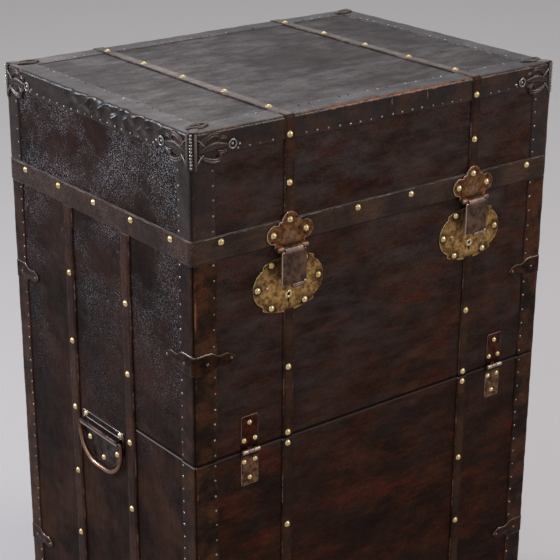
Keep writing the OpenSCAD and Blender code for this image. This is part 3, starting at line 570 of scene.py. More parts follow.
def add(tree, kind, inputs=(), **settings):
    """Adds a node with its settings, and gives each input its value or its link; returns its outputs."""
    made = tree.nodes.new("ShaderNode" + kind)
    for key, value in settings.items():
        setattr(made, key, value)
    for key, value in dict(inputs).items():
        if isinstance(value, bpy.types.NodeSocket):
            tree.links.new(value, made.inputs[key])
        else:
            made.inputs[key].default_value = value
    return made.outputs


def finish_of(name):
    """The material of that name, made once by the function FINISHES gives for it."""
    made = bpy.data.materials.get(name)
    if made is None:
        made = bpy.data.materials.new(name)
        made.use_nodes = True
        made.node_tree.nodes.clear()
        FINISHES[name](made.node_tree)
    return made


def shine(tree, colour, roughness, normal=None, **uniform):
    """Ends a tree in one principled surface; uniform values go straight on its sockets."""
    inputs = {"Base Color": colour, "Roughness": roughness}
    if normal is not None:
        inputs["Normal"] = normal
    inputs.update({k.replace("_", " "): v for k, v in uniform.items()})
    surface = add(tree, "BsdfPrincipled", inputs)
    add(tree, "OutputMaterial", {"Surface": surface[0]})


def ramp(tree, value, start=0.0, end=1.0, low=0.0, high=1.0, soft=False):
    """Takes a value from start..end to low..high, evenly or in a soft step, and holds it beyond them."""
    kind = "SMOOTHSTEP" if soft else "LINEAR"
    return add(tree, "MapRange", {0: value, 1: start, 2: end, 3: low, 4: high}, interpolation_type=kind)[0]


def reckon(tree, operation, *values):
    """One sum of sockets and numbers."""
    return add(tree, "Math", dict(enumerate(values)), operation=operation)[0]


def noise(tree, place, size, detail, rough=0.5):
    """Noise in cells about `size` millimetres across."""
    inputs = {"Vector": place, "Scale": 1000 / size, "Detail": detail, "Roughness": rough}
    return add(tree, "TexNoise", inputs)[0]


def patches(tree, place, size, start, end, detail=5, rough=0.62):
    """Mask from 0 to 1 in clouds about `size` millimetres across."""
    return ramp(tree, noise(tree, place, size, detail, rough), start, end, soft=True)


def drawn_out(tree, place, *scale):
    """Places scaled along the three axes: a pattern on them is long where the scale is small."""
    return add(tree, "Mapping", {"Vector": place, "Scale": scale})[0]


def blend(tree, share, under, over, kind="MIX"):
    """Colour `over` laid on the colour `under` by a share."""
    return add(tree, "Mix", {0: share, 6: under, 7: over}, data_type="RGBA", blend_type=kind)[2]


def times(tree, *masks):
    """Product of masks and numbers."""
    total = masks[0]
    for mask in masks[1:]:
        total = reckon(tree, "MULTIPLY", total, mask)
    return total


def shade(tree, tint, factor, share=1.0):
    """The tint made darker or lighter by a factor."""
    return blend(tree, share, tint, factor, "MULTIPLY")


def bumped(tree, height, strength, distance, under=None):
    """Bump of a height in metres, over another bump if one is given."""
    inputs = {"Strength": strength, "Distance": distance, "Height": height}
    if under is not None:
        inputs["Normal"] = under
    return add(tree, "Bump", inputs)[0]


def leather_masks(tree, grain, patch):
    """Where on the trunk a place is, and the patterns that all the leathers share."""
    coord = add(tree, "TexCoord")
    place = coord["Object"]
    way = add(tree, "SeparateXYZ", {0: coord["Normal"]})
    spot = add(tree, "SeparateXYZ", {0: place})
    on_lid = ramp(tree, spot[2], (LID_LOW - 10) / 1000, LID_LOW / 1000)
    high_up = ramp(tree, spot[2], 0.35, 1.08, 0.1, 1.0, soft=True)
    pebbles = noise(tree, place, grain, 3, 0.7)
    return SimpleNamespace(
        place=place,
        spot=spot,
        sideways=ramp(tree, reckon(tree, "ABSOLUTE", way[0]), 0.4, 0.8, soft=True),
        upward=times(tree, ramp(tree, way[2], 0.7, 0.97, soft=True), on_lid),
        high_up=high_up,
        low_down=ramp(tree, high_up, low=1, high=0.36),
        clouds=patches(tree, place, patch, 0.36, 0.66),
        mottle=patches(tree, place, patch / 5, 0.34, 0.68, detail=6, rough=0.7),
        pebbles=pebbles,
        speck=ramp(tree, pebbles, 0.32, 0.7, 0.55, 1.5),
        brushed=drawn_out(tree, place, 0.5, 0.5, 1.5),
        gathered=patches(tree, place, 160, 0.38, 0.62),
    )


def stained(tree, on, low, high, side, red):
    """Colour of the upright leather: dark and light in clouds, red in level streaks where red is given,
    a pair of its own on the sides, and brush strokes, level on the front and upright on the sides."""
    tint = blend(tree, on.clouds, low, high)
    if red:
        redder = ramp(tree, on.gathered, low=0.4, high=1.1)
        streaks = patches(tree, on.brushed, 48, 0.42, 0.66, detail=9, rough=0.74)
        tint = blend(tree, times(tree, streaks, on.low_down, redder, 0.8), tint, red)
    if side:
        tint = blend(tree, on.sideways, tint, blend(tree, times(tree, on.clouds, on.low_down), *side))
    tint = blend(tree, times(tree, on.mottle, 0.35), tint, low)
    tint = shade(tree, tint, on.speck)
    level, upright = (
        patches(tree, drawn_out(tree, on.place, *scale), 9, 0.25, 0.75, detail=6, rough=0.7)
        for scale in ((0.3, 0.3, 1.3), (1.3, 1.3, 0.3))
    )
    strokes = add(tree, "Mix", {0: on.sideways, 2: level, 3: upright})[0]
    tint = shade(tree, tint, ramp(tree, strokes, low=0.68, high=1.32))
    # darker towards the bottom
    return shade(tree, tint, ramp(tree, on.high_up, 0.1, 0.5, 0.86, 1))


def painted_sheen(tree, on, tint, grain, painted_sheen_share):
    """Painted sheen: a thin grey veil of painted reflection in brushed streaks, most of it on the front where
    the red is thin and high up, and painted glints, pale blue-white specks in the grain, most of them on the
    sides and high up."""
    amount = ramp(tree, on.sideways, low=0.22, high=0.07)
    greyer = ramp(tree, on.gathered, low=1.2, high=0.7)
    streaks = patches(tree, on.brushed, 32, 0.28, 0.78, detail=9, rough=0.72)
    veil = times(tree, streaks, on.high_up, painted_sheen_share, amount, greyer)
    # painted reflection: a grey veil laid over the leather's colour
    tint = blend(tree, veil, tint, linear("#7b7573"))
    haze = times(tree, patches(tree, on.place, 95, 0.38, 0.66), on.high_up, painted_sheen_share)
    share = reckon(tree, "MULTIPLY_ADD", on.sideways, 0.9, 0.1)
    specks = patches(tree, on.place, grain * 0.7, 0.55, 0.67, detail=2)
    # painted glints: bluish-white specks in the grain
    return blend(tree, times(tree, specks, haze, share, on.high_up), tint, linear("#b2afb5"))


def dusted(tree, on, tint, top):
    """Dusty grey where the lid faces up, brushed along its length and lighter towards the left."""
    streaks = patches(tree, drawn_out(tree, on.place, 0.5, 1.15, 1), 24, 0.28, 0.74, detail=9, rough=0.76)
    dust = blend(tree, streaks, *(top or (tone("lid_top_dark"), tone("lid_top"))))
    bald = times(tree, patches(tree, on.place, 130, 0.42, 0.62), 0.6)
    dust = blend(tree, bald, dust, tone("lid_top_dark"))
    dust = shade(tree, dust, ramp(tree, on.spot[0], -0.32, 0.05, 1.45, 0.9))
    return blend(tree, on.upward, tint, shade(tree, dust, on.speck, 0.5))


def worn_bare(tree, on, tint, bare):
    """Bare where the mesh says that it is worn, and black where the wear is below 0, in a seam."""
    wear = add(tree, "Attribute", attribute_name="worn")[2]
    flecked = reckon(tree, "ADD", wear, noise(tree, on.place, 7, 6, 0.75))
    tint = blend(tree, ramp(tree, flecked, 0.9, 1.25, soft=True), tint, bare)
    return blend(tree, ramp(tree, wear, -0.1, -0.8), tint, linear("#0a0706"))


def painted_seam_light(tree, on, tint):
    """Where the fall front meets the body: painted shade along the fall front's lower edge over the gap, and
    a painted highlight along the body's edge below it, stronger on the sides.
    """
    rear = DOOR_REAR / 1000
    forward = ramp(tree, on.spot[1], rear, rear + 0.001, 1, 0)
    lip_highlight = ramp(tree, on.sideways, low=0.12, high=0.75)
    # height, half width, colour and share of each line: near-black painted shade on the fall front's lower
    # edge, and a grey painted highlight on the body's upper edge
    lines = ((DOOR_LOW + 1.2, 1.5, "#060404", 0.9), (SEAM - 1.3, 0.9, "#857c76", lip_highlight))
    for height, half, laid, amount in lines:
        off = reckon(tree, "ABSOLUTE", reckon(tree, "SUBTRACT", on.spot[2], height / 1000))
        line = ramp(tree, off, half / 1000, half / 1000 + 0.0005, amount, 0)
        tint = blend(tree, times(tree, line, forward), tint, linear(laid))
    return tint


def leather(tree, low, high, bare, grain=2.2, patch=70, gloss=0.42, depth=0.35, painted_sheen_share=0.35,
            sheen=0.07, side=None, red=None, top=None):
    """Old waxed leather with an open grain: stained, given a painted sheen and painted glints, dusty on top,
    rubbed on its edges, with painted shade and a painted highlight along the fall front's lower edge. low,
    high and the pairs side and top are dark and light colours; grain and patch are the sizes of its pebbles
    and clouds in millimetres, the pebbles drawn about twice as coarse as real, to show; bloom is the share of
    painted sheen and painted glints."""
    on = leather_masks(tree, grain, patch)
    tint = stained(tree, on, low, high, side, red)
    tint = painted_sheen(tree, on, tint, grain, painted_sheen_share)
    tint = dusted(tree, on, tint, top)
    tint = worn_bare(tree, on, tint, bare)
    tint = painted_seam_light(tree, on, tint)
    rough = ramp(tree, on.mottle, low=gloss - 0.06, high=gloss + 0.12)
    rough = reckon(tree, "MULTIPLY_ADD", on.upward, 0.58 - gloss, rough)
    bump = bumped(tree, on.pebbles, depth, 0.0012)
    bump = bumped(tree, noise(tree, on.place, 40, 2), 0.12, 0.004, bump)
    shine(tree, tint, rough, bump, Specular_IOR_Level=sheen)


def hide_finish(tree):
    """Covering leather of the trunk: red-brown on the front and back, near-black and open grained on
    the sides, and dusty grey with brushed streaks on the lid's top."""
    leather(tree, tone("front_dark"), tone("front"), tone("worn"), grain=2.2, patch=120, gloss=0.46,
            depth=0.5, painted_sheen_share=0.9, sheen=0.035, side=(tone("side"), tone("side_warm")), red=tone("front_warm"))


def binding_finish(tree, warm=None, gloss=0.3, sheen=0.06):
    """Calf binding, thin and waxed, glazed dark and rubbed bare to a rusty brown on the edges."""
    pair = tone("binding"), warm or tone("binding_warm")
    leather(tree, *pair, tone("worn"), grain=2, patch=38, gloss=gloss, depth=0.25, painted_sheen_share=0.1,
            sheen=sheen, side=pair, top=(linear("#4d4745"), linear("#706a67")))


def glazed_binding_finish(tree):
    """The same calf round the lid, where hands and wax have polished it to a deep gloss."""
    binding_finish(tree, warm=linear("#3a2115"), gloss=0.24, sheen=0.28)


def strap_finish(tree):
    """Bridle leather straps, thick and close-grained, with edges rubbed lighter."""
    leather(tree, tone("strap"), tone("strap_warm"), linear("#806a5c"), grain=2, patch=45, gloss=0.4,
            depth=0.2, painted_sheen_share=0.3, top=(linear("#665e58"), linear("#8a8179")))


def band_finish(tree):
    """Harness leather band, dry and grey-brown, with rusty bare places and a pale top edge."""
    leather(tree, tone("band"), tone("band_warm"), linear("#85766c"), grain=2, patch=60, gloss=0.36,
            depth=0.2, painted_sheen_share=0.3)


def metal(tree, low, high, bright, patch=12, gloss=0.4, depth=0.15, dust=0.0):
    """Old hand-finished metal: tarnish in clouds, pitted, bright where the mesh says that it is worn, which
    is partly rubbing and partly painted highlight, darker where that wear is below 0, which is partly grime
    and partly painted shade round studs, and dusty where it faces up."""
    coord = add(tree, "TexCoord")
    place = coord["Object"]
    clouds = patches(tree, place, patch, 0.35, 0.65, detail=7, rough=0.7)
    tint = blend(tree, clouds, low, high)
    wear = add(tree, "Attribute", attribute_name="worn")[2]
    # dark colour for grime and for painted shade round studs
    dirt_and_shade = tuple(0.25 * a + 0.75 * b for a, b in zip(low, linear("#150e0a")))
    tint = blend(tree, ramp(tree, wear, 0, -1), tint, dirt_and_shade)
    tint = blend(tree, ramp(tree, wear), tint, bright)
    rough = ramp(tree, clouds, low=gloss + 0.15, high=gloss - 0.05)
    rough = ramp(tree, wear, low=rough, high=gloss * 0.6)
    if dust:
        up = add(tree, "SeparateXYZ", {0: coord["Normal"]})[2]
        up = ramp(tree, up, 0.75, 0.98, high=dust, soft=True)
        tint = blend(tree, up, tint, linear("#8a8079"))
        rough = ramp(tree, up, low=rough, high=0.75)
    bump = bumped(tree, noise(tree, place, 1.5, 4), depth, 0.0005)
    bump = bumped(tree, clouds, depth, 0.0012, bump)
    shine(tree, tint, rough, bump, Metallic=1.0)


def stud_finish(tree):
    """Solid brass nail heads, polished and lacquered, a little dull at the foot."""
    metal(tree, linear("#cba86e"), tone("brass"), linear("#f0dca8"), patch=7, gloss=0.26, depth=0.02)


def tack_finish(tree):
    """Small nickelled tacks, dulled and rubbed bright on their heads."""
    metal(tree, linear("#38302c"), linear("#aaa29a"), linear("#c4bcb4"), patch=45, gloss=0.3, depth=0.05)


def lock_finish(tree):
    """Sheet brass lock plates, mottled with brown tarnish."""
    metal(tree, tone("lock_dark"), tone("lock"), linear("#dccaa4"), patch=7, gloss=0.4, depth=0.35)


def hasp_finish(tree):
    """Copper-plated pressed brass of the hasp plates, worn to bright edges."""
    metal(tree, linear("#44281a"), tone("copper"), linear("#d8bca8"), patch=9, gloss=0.4, depth=0.25)


def flap_finish(tree):
    """Dull copper-bronzed flap, scratched."""
    metal(tree, linear("#44332b"), linear("#745a4c"), linear("#cbb8ae"), patch=13, gloss=0.42, depth=0.2)


def iron_finish(tree):
    """Pressed iron, blackened and waxed, brown with rust in the hollows."""
    metal(tree, linear("#3a241a"), tone("iron"), linear("#a39c98"), patch=11, gloss=0.32, depth=0.2,
          dust=0.85)


def bracket_finish(tree):
    """Iron brackets painted brown with the leather, worn to metal on their borders, with a painted highlight
    along their upper borders.
    """
    metal(tree, linear("#1a1210"), linear("#442a1c"), linear("#74675e"), patch=22, gloss=0.42, depth=0.15)


def hinge_red_finish(tree):
    """Iron leaf painted red-brown with the front, worn through along its border."""
    metal(tree, linear("#2c150f"), linear("#532a1c"), linear("#a8988c"), patch=9, gloss=0.45, depth=0.2)


def hinge_grey_finish(tree):
    """Iron leaf whose bronze paint has worn to a grey-brown."""
    metal(tree, linear("#35231a"), linear("#86634c"), linear("#ccb8a8"), patch=9, gloss=0.45, depth=0.25)


def copper_finish(tree):
    """Coppered steel of the bails, dark, worn bright where hands held them, with a painted highlight low on
    the left side.
    """
    metal(tree, linear("#2a1a15"), linear("#6e4530"), linear("#c49a82"), patch=12, gloss=0.32, depth=0.1)


def handle_finish(tree):
    """Bronzed steel of the handle plates, nearly black in the hollows, and bright on the borders, which is
    partly rubbing and partly a painted highlight along the top.
    """
    metal(tree, linear("#1c1613"), linear("#40302a"), linear("#d0c4bc"), patch=14, gloss=0.36, depth=0.12)


def steel_finish(tree):
    """Drawn steel of pins and rail, dull grey."""
    metal(tree, linear("#6a6660"), linear("#a6a29a"), linear("#d0ccc4"), patch=10, gloss=0.35, depth=0.05)


def cloth_finish(tree):
    """Linen ticking glued to the boards: plain weave with threads 0.7 mm apart, drawn 2 mm apart so
    that it shows, and a brown stripe every 24 mm."""
    coord = add(tree, "TexCoord")
    place = coord["Object"]
    axes = add(tree, "SeparateXYZ", {0: place})
    side = reckon(tree, "ABSOLUTE", add(tree, "SeparateXYZ", {0: coord["Normal"]})[0])
    side = reckon(tree, "GREATER_THAN", side, 0.5)
    both = add(tree, "Mix", {0: side, 2: axes[0], 3: axes[1]})[0]
    wave = {"Scale": 500 / math.pi, "Distortion": 0.4, "Detail": 1}
    weft = add(tree, "TexWave", {"Vector": place, **wave}, bands_direction="Z")[1]
    warp = add(tree, "TexWave", {"Vector": place, **wave}, bands_direction="X")[1]
    weave = reckon(tree, "MAXIMUM", weft, warp)
    stripe = reckon(tree, "SINE", times(tree, both, 2 * math.pi / 0.024))
    stripe = ramp(tree, stripe, 0.86, 0.93)
    tint = blend(tree, patches(tree, place, 110, 0.4, 0.7), tone("lining"), linear("#8a7252"))
    tint = blend(tree, stripe, tint, linear("#6a4a38"))
    shine(tree, tint, 0.9, bumped(tree, weave, 0.3, 0.0004), Sheen_Weight=0.15)


def wood(tree, low, high, scale, ring):
    """Growth rings drawn out along the grain, `ring` millimetres apart."""
    place = add(tree, "TexCoord")["Object"]
    rings = patches(tree, drawn_out(tree, place, *scale), ring, 0.35, 0.65, detail=4)
    shine(tree, blend(tree, rings, low, high), 0.68, bumped(tree, rings, 0.2, 0.0004))


def board_finish(tree):
    """Sawn softwood of the boards, with the grain upright."""
    wood(tree, linear("#6e4e34"), tone("board"), (1, 1, 0.12), 6)


def runner_finish(tree):
    """Beech runners, stained and scuffed, with the grain from front to back."""
    wood(tree, linear("#2a1c12"), linear("#4a3220"), (1, 0.1, 1), 4.5)


FINISHES = {
    "Waxed trunk leather": hide_finish,
    "Calf binding leather": binding_finish,
    "Glazed calf leather": glazed_binding_finish,
    "Bridle leather": strap_finish,
    "Harness leather": band_finish,
    "Polished brass": stud_finish,
    "Nickelled tacks": tack_finish,
    "Tarnished sheet brass": lock_finish,
    "Coppered brass": hasp_finish,
    "Bronzed brass": flap_finish,
    "Blackened iron": iron_finish,
    "Brown painted iron": bracket_finish,
    "Red painted iron": hinge_red_finish,
    "Bronze painted iron": hinge_grey_finish,
    "Coppered steel": copper_finish,
    "Bronzed steel": handle_finish,
    "Drawn steel": steel_finish,
    "Linen ticking": cloth_finish,
    "Sawn softwood": board_finish,
    "Stained beech": runner_finish,
}


def dress_node(node, finish):
    """Gives a node of the frame its material."""
    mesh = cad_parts[node].data
    mesh.materials.clear()
    mesh.materials.append(finish_of(finish))


# Pieces


class TRUNK_OT_boards(bpy.types.Operator):
    """Finish the boards, the cloth, the covering leather and the fittings inside"""

    bl_idname = "trunk.boards"
    bl_label = "Boards, cloth and leather"

    def execute(self, context):
        groups = {
            "Sawn softwood": ("base_panel", "back_panel", "side_panel_left", "side_panel_right",
                              "front_panel", "lid_shell", "door_panel"),
            "Linen ticking": ("carcass_lining", "lid_lining", "door_lining"),
            "Waxed trunk leather": ("carcass_hide", "lid_hide", "door_hide"),
            "Stained beech": ("runners",),
            "Drawn steel": ("rail_sockets", "garment_rail", "seam_hinge_pins", "lid_hinge_pins",
                            "hasp_pins"),
            "Tarnished sheet brass": ("lock_cases",),
        }
        for finish, nodes in groups.items():
            for node in nodes:
                dress_node(node, finish)
        return {"FINISHED"}


class TRUNK_OT_bindings(bpy.types.Operator):
    """Leather bindings round the lid's edges, down the corners and round the base"""

    bl_idname = "trunk.bindings"
    bl_label = "Bindings"

    def execute(self, context):
        m = measures()
        total = rim_length()
        # round the lid
        shell = Shell()
        u = np.arange(0, total, total / round(total / 3))

        def edge_wear(u, d):
            """Rubbed on the arris, most along the front between the straps."""
            u = np.broadcast_to(u, d.shape)
            front = hump(u, walk_to("front", 20), 170, 4)
            ragged = d - ripple(u, d, 4, [(37, 0.9), (13, 0.7), (7, 0.5)])
            ridge = hump(ragged, 0, 1.6 + 1.6 * front)
            return ridge * (0.42 + 0.45 * front + wander(u, 3, [(170, 0.12), (61, 0.12), (23, 0.1)]))

        def puckers(u, d):
            """Puckered leather below the left arris, and a slight unevenness everywhere."""
            u = np.broadcast_to(u, d.shape)
            left = hump(u, walk_to("left", -60), 105, 4) * hump(d, -13, 12)
            creased = ripple(u, d * 0.7, 8, [(19, 0.8), (11, 0.5), (27, 0.6), (14, 0.6)])
            return 3.0 * left * creased + ripple(u, d, 5, [(60, 0.18), (23, 0.15), (37, 0.15)])

        # the lines of the grid lie closer over the round arris
        lines = np.concatenate([np.linspace(-27, -6, 9), np.linspace(-4.5, 4.5, 9), np.linspace(6, 30, 9)])
        skin(
            shell, over_rim, u,
            -(m.binding_drop + wander(u, 1, [(210, 0.8), (57, 0.5)])),
            m.binding_top + wander(u, 2, [(180, 1.0), (49, 0.6)]),
            m.binding, lines, lift=puckers, worn=edge_wear, close_u=True,
        )
        # two tears in the front edge, with their pale raw side turned up, by place and length
        for x, long in ((8, 11), (75, 13)):
            sliver = [(walk_to("front", x + 0.9 * math.sin(t)), -4 - t) for t in np.linspace(0, long, 5)]
            blade(shell, over_rim, sliver, [0.3, 1.3, 1.5, 1.2, 0.3], m.binding, 0.8, worn=1.6)

        def column(corner, low, high, seed):
            """One corner binding between two heights: two strips whose edges meet in a dark seam."""
            z = np.linspace(low, high, max(int((high - low) / 6), 8))
            z = np.concatenate([[low, low + 0.4], z[1:-1], [high - 0.4, high]])

            def wear(z, d):
                """Dirt in the seam, and a pale line beside it, partly rubbed and partly a painted highlight,
                bare at one place on the left.
                """
                z = np.broadcast_to(z, d.shape)
                bare = 0.6 * hump(z, 862, 22, 4) if corner == "front_left" else 0
                amount = 0.35 + bare + wander(z, seed, [(140, 0.12), (47, 0.12), (19, 0.1)])
                return amount * hump(d, 2.2, 1.6) - 1.2 * hump(d, -0.6, 0.8)

            def lift(z, d):
                """The seam's groove, and a slight unevenness."""
                uneven = ripple(np.broadcast_to(z, d.shape), d, seed, [(50, 0.15), (21, 0.12), (33, 0.12)])
                return uneven - 1.1 * hump(d, -0.6, 0.7)

            near = [-3, -2, -1.4, -0.9, -0.4, 0.1, 0.8, 1.6, 2.4, 3.2]
            skin(
                shell, lambda z, d, p: round_corner(corner, d, z, p), z,
                -(m.binding_side + wander(z, seed + 1, [(230, 0.8), (71, 0.5)])),
                m.binding_front + wander(z, seed + 2, [(190, 0.8), (63, 0.5)]),
                m.binding, np.concatenate([np.linspace(-27, -5, 8), near, np.linspace(5, 32, 9)]),
                worn=wear, lift=lift,
            )

        for i, corner in enumerate(CORNERS):
            column(corner, BAND_TOP, TOP - m.binding_drop + 0.8, 20 + i)
        shell.piece("lid_binding", "lid", "Glazed calf leather", ["lid_bindings"], slot="binding_leather")
        # fall front
        shell = Shell()
        column("front_left", DOOR_LOW, PART, 31)
        column("front_right", DOOR_LOW, PART, 32)
        shell.piece("fall_front_binding", "fall_front", "Calf binding leather", ["door_bindings"],
                    slot="binding_leather")
        # body
        shell = Shell()
        base_top = BASE + m.binding_drop
        for i, corner in enumerate(CORNERS):
            column(corner, base_top - 0.5, SEAM if corner.startswith("front") else PART, 41 + i)
        skin(
            shell, round_sides, u, BASE, base_top + wander(u, 6, [(210, 0.8), (57, 0.5)]),
            m.binding, np.linspace(BASE + 4, base_top - 4, 7),
            close_u=True, worn=lambda u, d: 0.55 * hump(d, BASE, 4) + 0 * u,
        )
        shell.piece("body_binding", "carcass", "Calf binding leather", ["carcass_bindings"],
                    slot="binding_leather")
        return {"FINISHED"}


def upright_strap(shell, face, t, low, high, width, seed):
    """Strap standing on a face, wandering a little from plumb."""
    m = measures()
    z = np.linspace(low, high, max(int((high - low) / 12), 6))
    path = on_face(face, t, z, 0 * z)
    across = np.cross((0, 0, 1), OUT[face])
    out = np.broadcast_to(np.array(OUT[face], float), path.shape)
    ribbon(
        shell, path, out, across, strap_section(width, m.strap),
        drift=wander(z, seed, [(620, 0.5), (170, 0.25)]),
        worn=0.48 + wander(z, seed + 7, [(120, 0.12), (37, 0.1)])[:, None],
    )


class TRUNK_OT_straps(bpy.types.Operator):
    """Straps over the lid and down the faces"""

    bl_idname = "trunk.straps"
    bl_label = "Straps"

    def execute(self, context):
        m = measures()
        shell = Shell()
        arris = m.arris
        low, flat = TOP - arris, HALF_D - arris
        rise, bend = low - BAND_TOP, math.pi / 2 * arris
        for i, side in enumerate((-1, 1)):
            # up the front, over the round arris, along the top and down the back
            knots = np.cumsum([0, rise, bend, 2 * flat, bend, rise])
            bends = [np.linspace(knots[k], knots[k + 1], 7) for k in (1, 3)]
            s = np.unique(np.concatenate([np.arange(0, knots[-1], 12), *bends, knots]))
            y = np.interp(s, knots, [-flat, -flat, -flat, flat, flat, flat])
            z = np.interp(s, knots, [BAND_TOP, low, low, low, low, BAND_TOP])
            turn = np.interp(s, knots, [math.pi, math.pi, math.pi / 2, math.pi / 2, 0, 0])
            out = np.stack([0 * s, np.cos(turn), np.sin(turn)], -1)
            path = np.stack([side * STRAP_X + 0 * s, y, z], -1) + arris * out
            ribbon(
                shell, path, out, (1, 0, 0), strap_section(m.strap_w, m.strap),
                drift=wander(s, 11 + i, [(500, 0.6), (150, 0.3)]),
                worn=0.48 + wander(s, 13 + i, [(120, 0.12), (37, 0.1)])[:, None],
            )
        shell.piece("lid_strap_pair", "lid", "Bridle leather", ["lid_straps"], slot="strap_leather")
        shell = Shell()
        under_lock = LOCK_Z - m.lock_h / 2 + 3
        for i, side in enumerate((-1, 1)):
            upright_strap(shell, "front", side * STRAP_X, DOOR_LOW, under_lock, m.strap_w, 51 + i)
        shell.piece("fall_front_straps", "fall_front", "Bridle leather", ["door_straps"],
                    slot="strap_leather")
        shell = Shell()
        for i, side in enumerate((-1, 1)):
            upright_strap(shell, "front", side * STRAP_X, BASE, SEAM, m.strap_w, 55 + i)
            upright_strap(shell, "back", side * STRAP_X, BASE, PART, m.strap_w, 57 + i)
        shell.piece("body_straps", "carcass", "Bridle leather", ["front_lower_straps", "back_straps"],
                    slot="strap_leather")
        shell = Shell()
        for i, face in enumerate(("left", "right")):
            for j, side in enumerate((-1, 1)):
                upright_strap(shell, face, side * SIDE_STRAP_Y, BASE, PART, m.side_strap_w, 61 + 2 * i + j)
        shell.piece("side_strap_set", "carcass", "Bridle leather", ["side_straps"], slot="strap_leather")
        return {"FINISHED"}


class TRUNK_OT_band(bpy.types.Operator):
    """Band round the lid's lower edge, cut away for the hinges at the back"""

    bl_idname = "trunk.band"
    bl_label = "Band"

    def execute(self, context):
        m = measures()
        shell = Shell()
        hinge = span("lid_hinge_upper_leaves")[1][0]
        outer, inner = hinge + 1, hinge - m.lid_hinge_w - 1

        def fuller(u, d):
            """A soft swell, and a fine bead along the top edge."""
            bead = 0.25 * hump(d, BAND_TOP - 2.2, 0.9) - 0.35 * hump(d, BAND_TOP - 4, 0.8)
            return bead + ripple(np.broadcast_to(u, d.shape), d, 9, [(80, 0.1), (33, 0.1)]) - 0.35

        def wear(u, d):
            """Rubbed along the top edge and in long patches."""
            u = np.broadcast_to(u, d.shape)
            return hump(d, BAND_TOP - 1.3, 0.9) * (0.62 + wander(u, 12, [(160, 0.12), (43, 0.1)]))

        # the lines of the grid lie closer along the bead
        lines = np.concatenate([
            np.linspace(LID_LOW + 3, BAND_TOP - 7, 9), BAND_TOP - np.arange(5.4, 1.7, -0.6)
        ])
        for start, end in ((outer, rim_length() - outer), (-inner, inner)):
            u = np.linspace(start, end, int((end - start) / 5))
            u = np.concatenate([[start, start + 0.4], u[1:-1], [end - 0.4, end]])
            skin(shell, round_sides, u, LID_LOW, BAND_TOP, m.strap, lines, lift=fuller, worn=wear)
        shell.piece("lid_band_leather", "lid", "Harness leather", ["lid_band"], slot="band_leather")
        return {"FINISHED"}


class TRUNK_OT_studs(bpy.types.Operator):
    """Domed brass studs on the straps, the band, the locks, the hinges and the handles"""

    bl_idname = "trunk.studs"
    bl_label = "Studs"

    def execute(self, context):
        for node in ("lid_studs", "door_studs", "carcass_studs"):
            dress_node(node, "Polished brass")
        return {"FINISHED"}


class TRUNK_OT_tacks(bpy.types.Operator):
    """Rows of small tacks along the bindings"""

    bl_idname = "trunk.tacks"
    bl_label = "Tacks"

    def execute(self, context):
        m = measures()
        p = m.binding
        total = rim_length()

        def away(walk, place):
            """Distance from a place, the shorter way round."""
            return np.abs(np.mod(walk - place + total / 2, total) - total / 2)

        def clear(walk, gap=4.0):
            """Places that no strap covers."""
            near = np.zeros(len(walk), bool)
            for face in ("front", "back"):
                for side in (-1, 1):
                    near |= away(walk, walk_to(face, side * STRAP_X)) < m.strap_w / 2 + gap
            return ~near

        def off_irons(walk, reach):
            """Places farther than `reach` from each upright arris."""
            near = np.zeros(len(walk), bool)
            for corner in CORNERS:
                near |= away(walk, corner_walk(corner)[0]) < reach
            return ~near

        lid = Shell()
        walk = np.arange(0, total, total / round(total / m.tack_pitch))
        walk = walk + wander(walk, 71, [(90, 1.0), (37, 0.8)])
        keep = walk[clear(walk) & off_irons(walk, IRON_CLEAR)]
        row = TACK_INSET_NEAR - m.binding_drop + wander(keep, 72, [(200, 0.8)])
        domes(lid, over_rim(keep, row, p), rim_out(keep), m.tack, m.tack_h, worn=0.15)
        inner = walk[clear(walk) & off_irons(walk, IRON_CLEAR_TOP)]
        row = m.binding_top - TACK_INSET + wander(inner, 73, [(200, 0.8)])
        domes(lid, over_rim(inner, row, p), OUT["top"], m.tack, m.tack_h)

        def column(shell, corner, low, high, seed):
            """Tacks down both edges of a corner binding."""
            front, side = m.binding_front - TACK_INSET, TACK_INSET_NEAR - m.binding_side
            for d, pitch in ((front, m.front_pitch), (side, m.side_pitch)):
                z = np.linspace(low, high, max(round((high - low) / pitch), 1) + 1)
                z = z + wander(z, seed, [(70, 0.8)])
                free = np.minimum(np.abs(z - BRACKET_HIGH), np.abs(z - BRACKET_LOW)) > BRACKET_CLEAR
                at = round_corner(corner, d + wander(z, seed + 1, [(150, 0.7)]), z, p)[free]
                domes(shell, at, corner_out(corner, d, z)[free], m.tack, m.tack_h, worn=0.15)

        for i, corner in enumerate(CORNERS):
            column(lid, corner, BAND_TOP + 8, TOP - m.iron_drop - 2, 80 + i)
        lid.piece("lid_tacks", "lid", "Nickelled tacks")
        door = Shell()
        column(door, "front_left", DOOR_LOW + 9, PART - 4, 90)
        column(door, "front_right", DOOR_LOW + 9, PART - 4, 92)
        door.piece("fall_front_tacks", "fall_front", "Nickelled tacks")
        body = Shell()
        for i, corner in enumerate(CORNERS):
            high = SEAM if corner.startswith("front") else PART
            column(body, corner, BASE + m.iron_drop + 6, high - 6, 95 + i)
        for face in ("left", "right"):
            for side in (-1, 1):
                keep = keep[away(keep, walk_to(face, side * SIDE_STRAP_Y)) > m.side_strap_w / 2 + 4]
        row = BASE + m.binding_drop - TACK_INSET
        domes(body, rim(keep, p, row), rim_out(keep), m.tack, m.tack_h, worn=0.15)
        body.piece("body_tacks", "carcass", "Nickelled tacks")
        return {"FINISHED"}


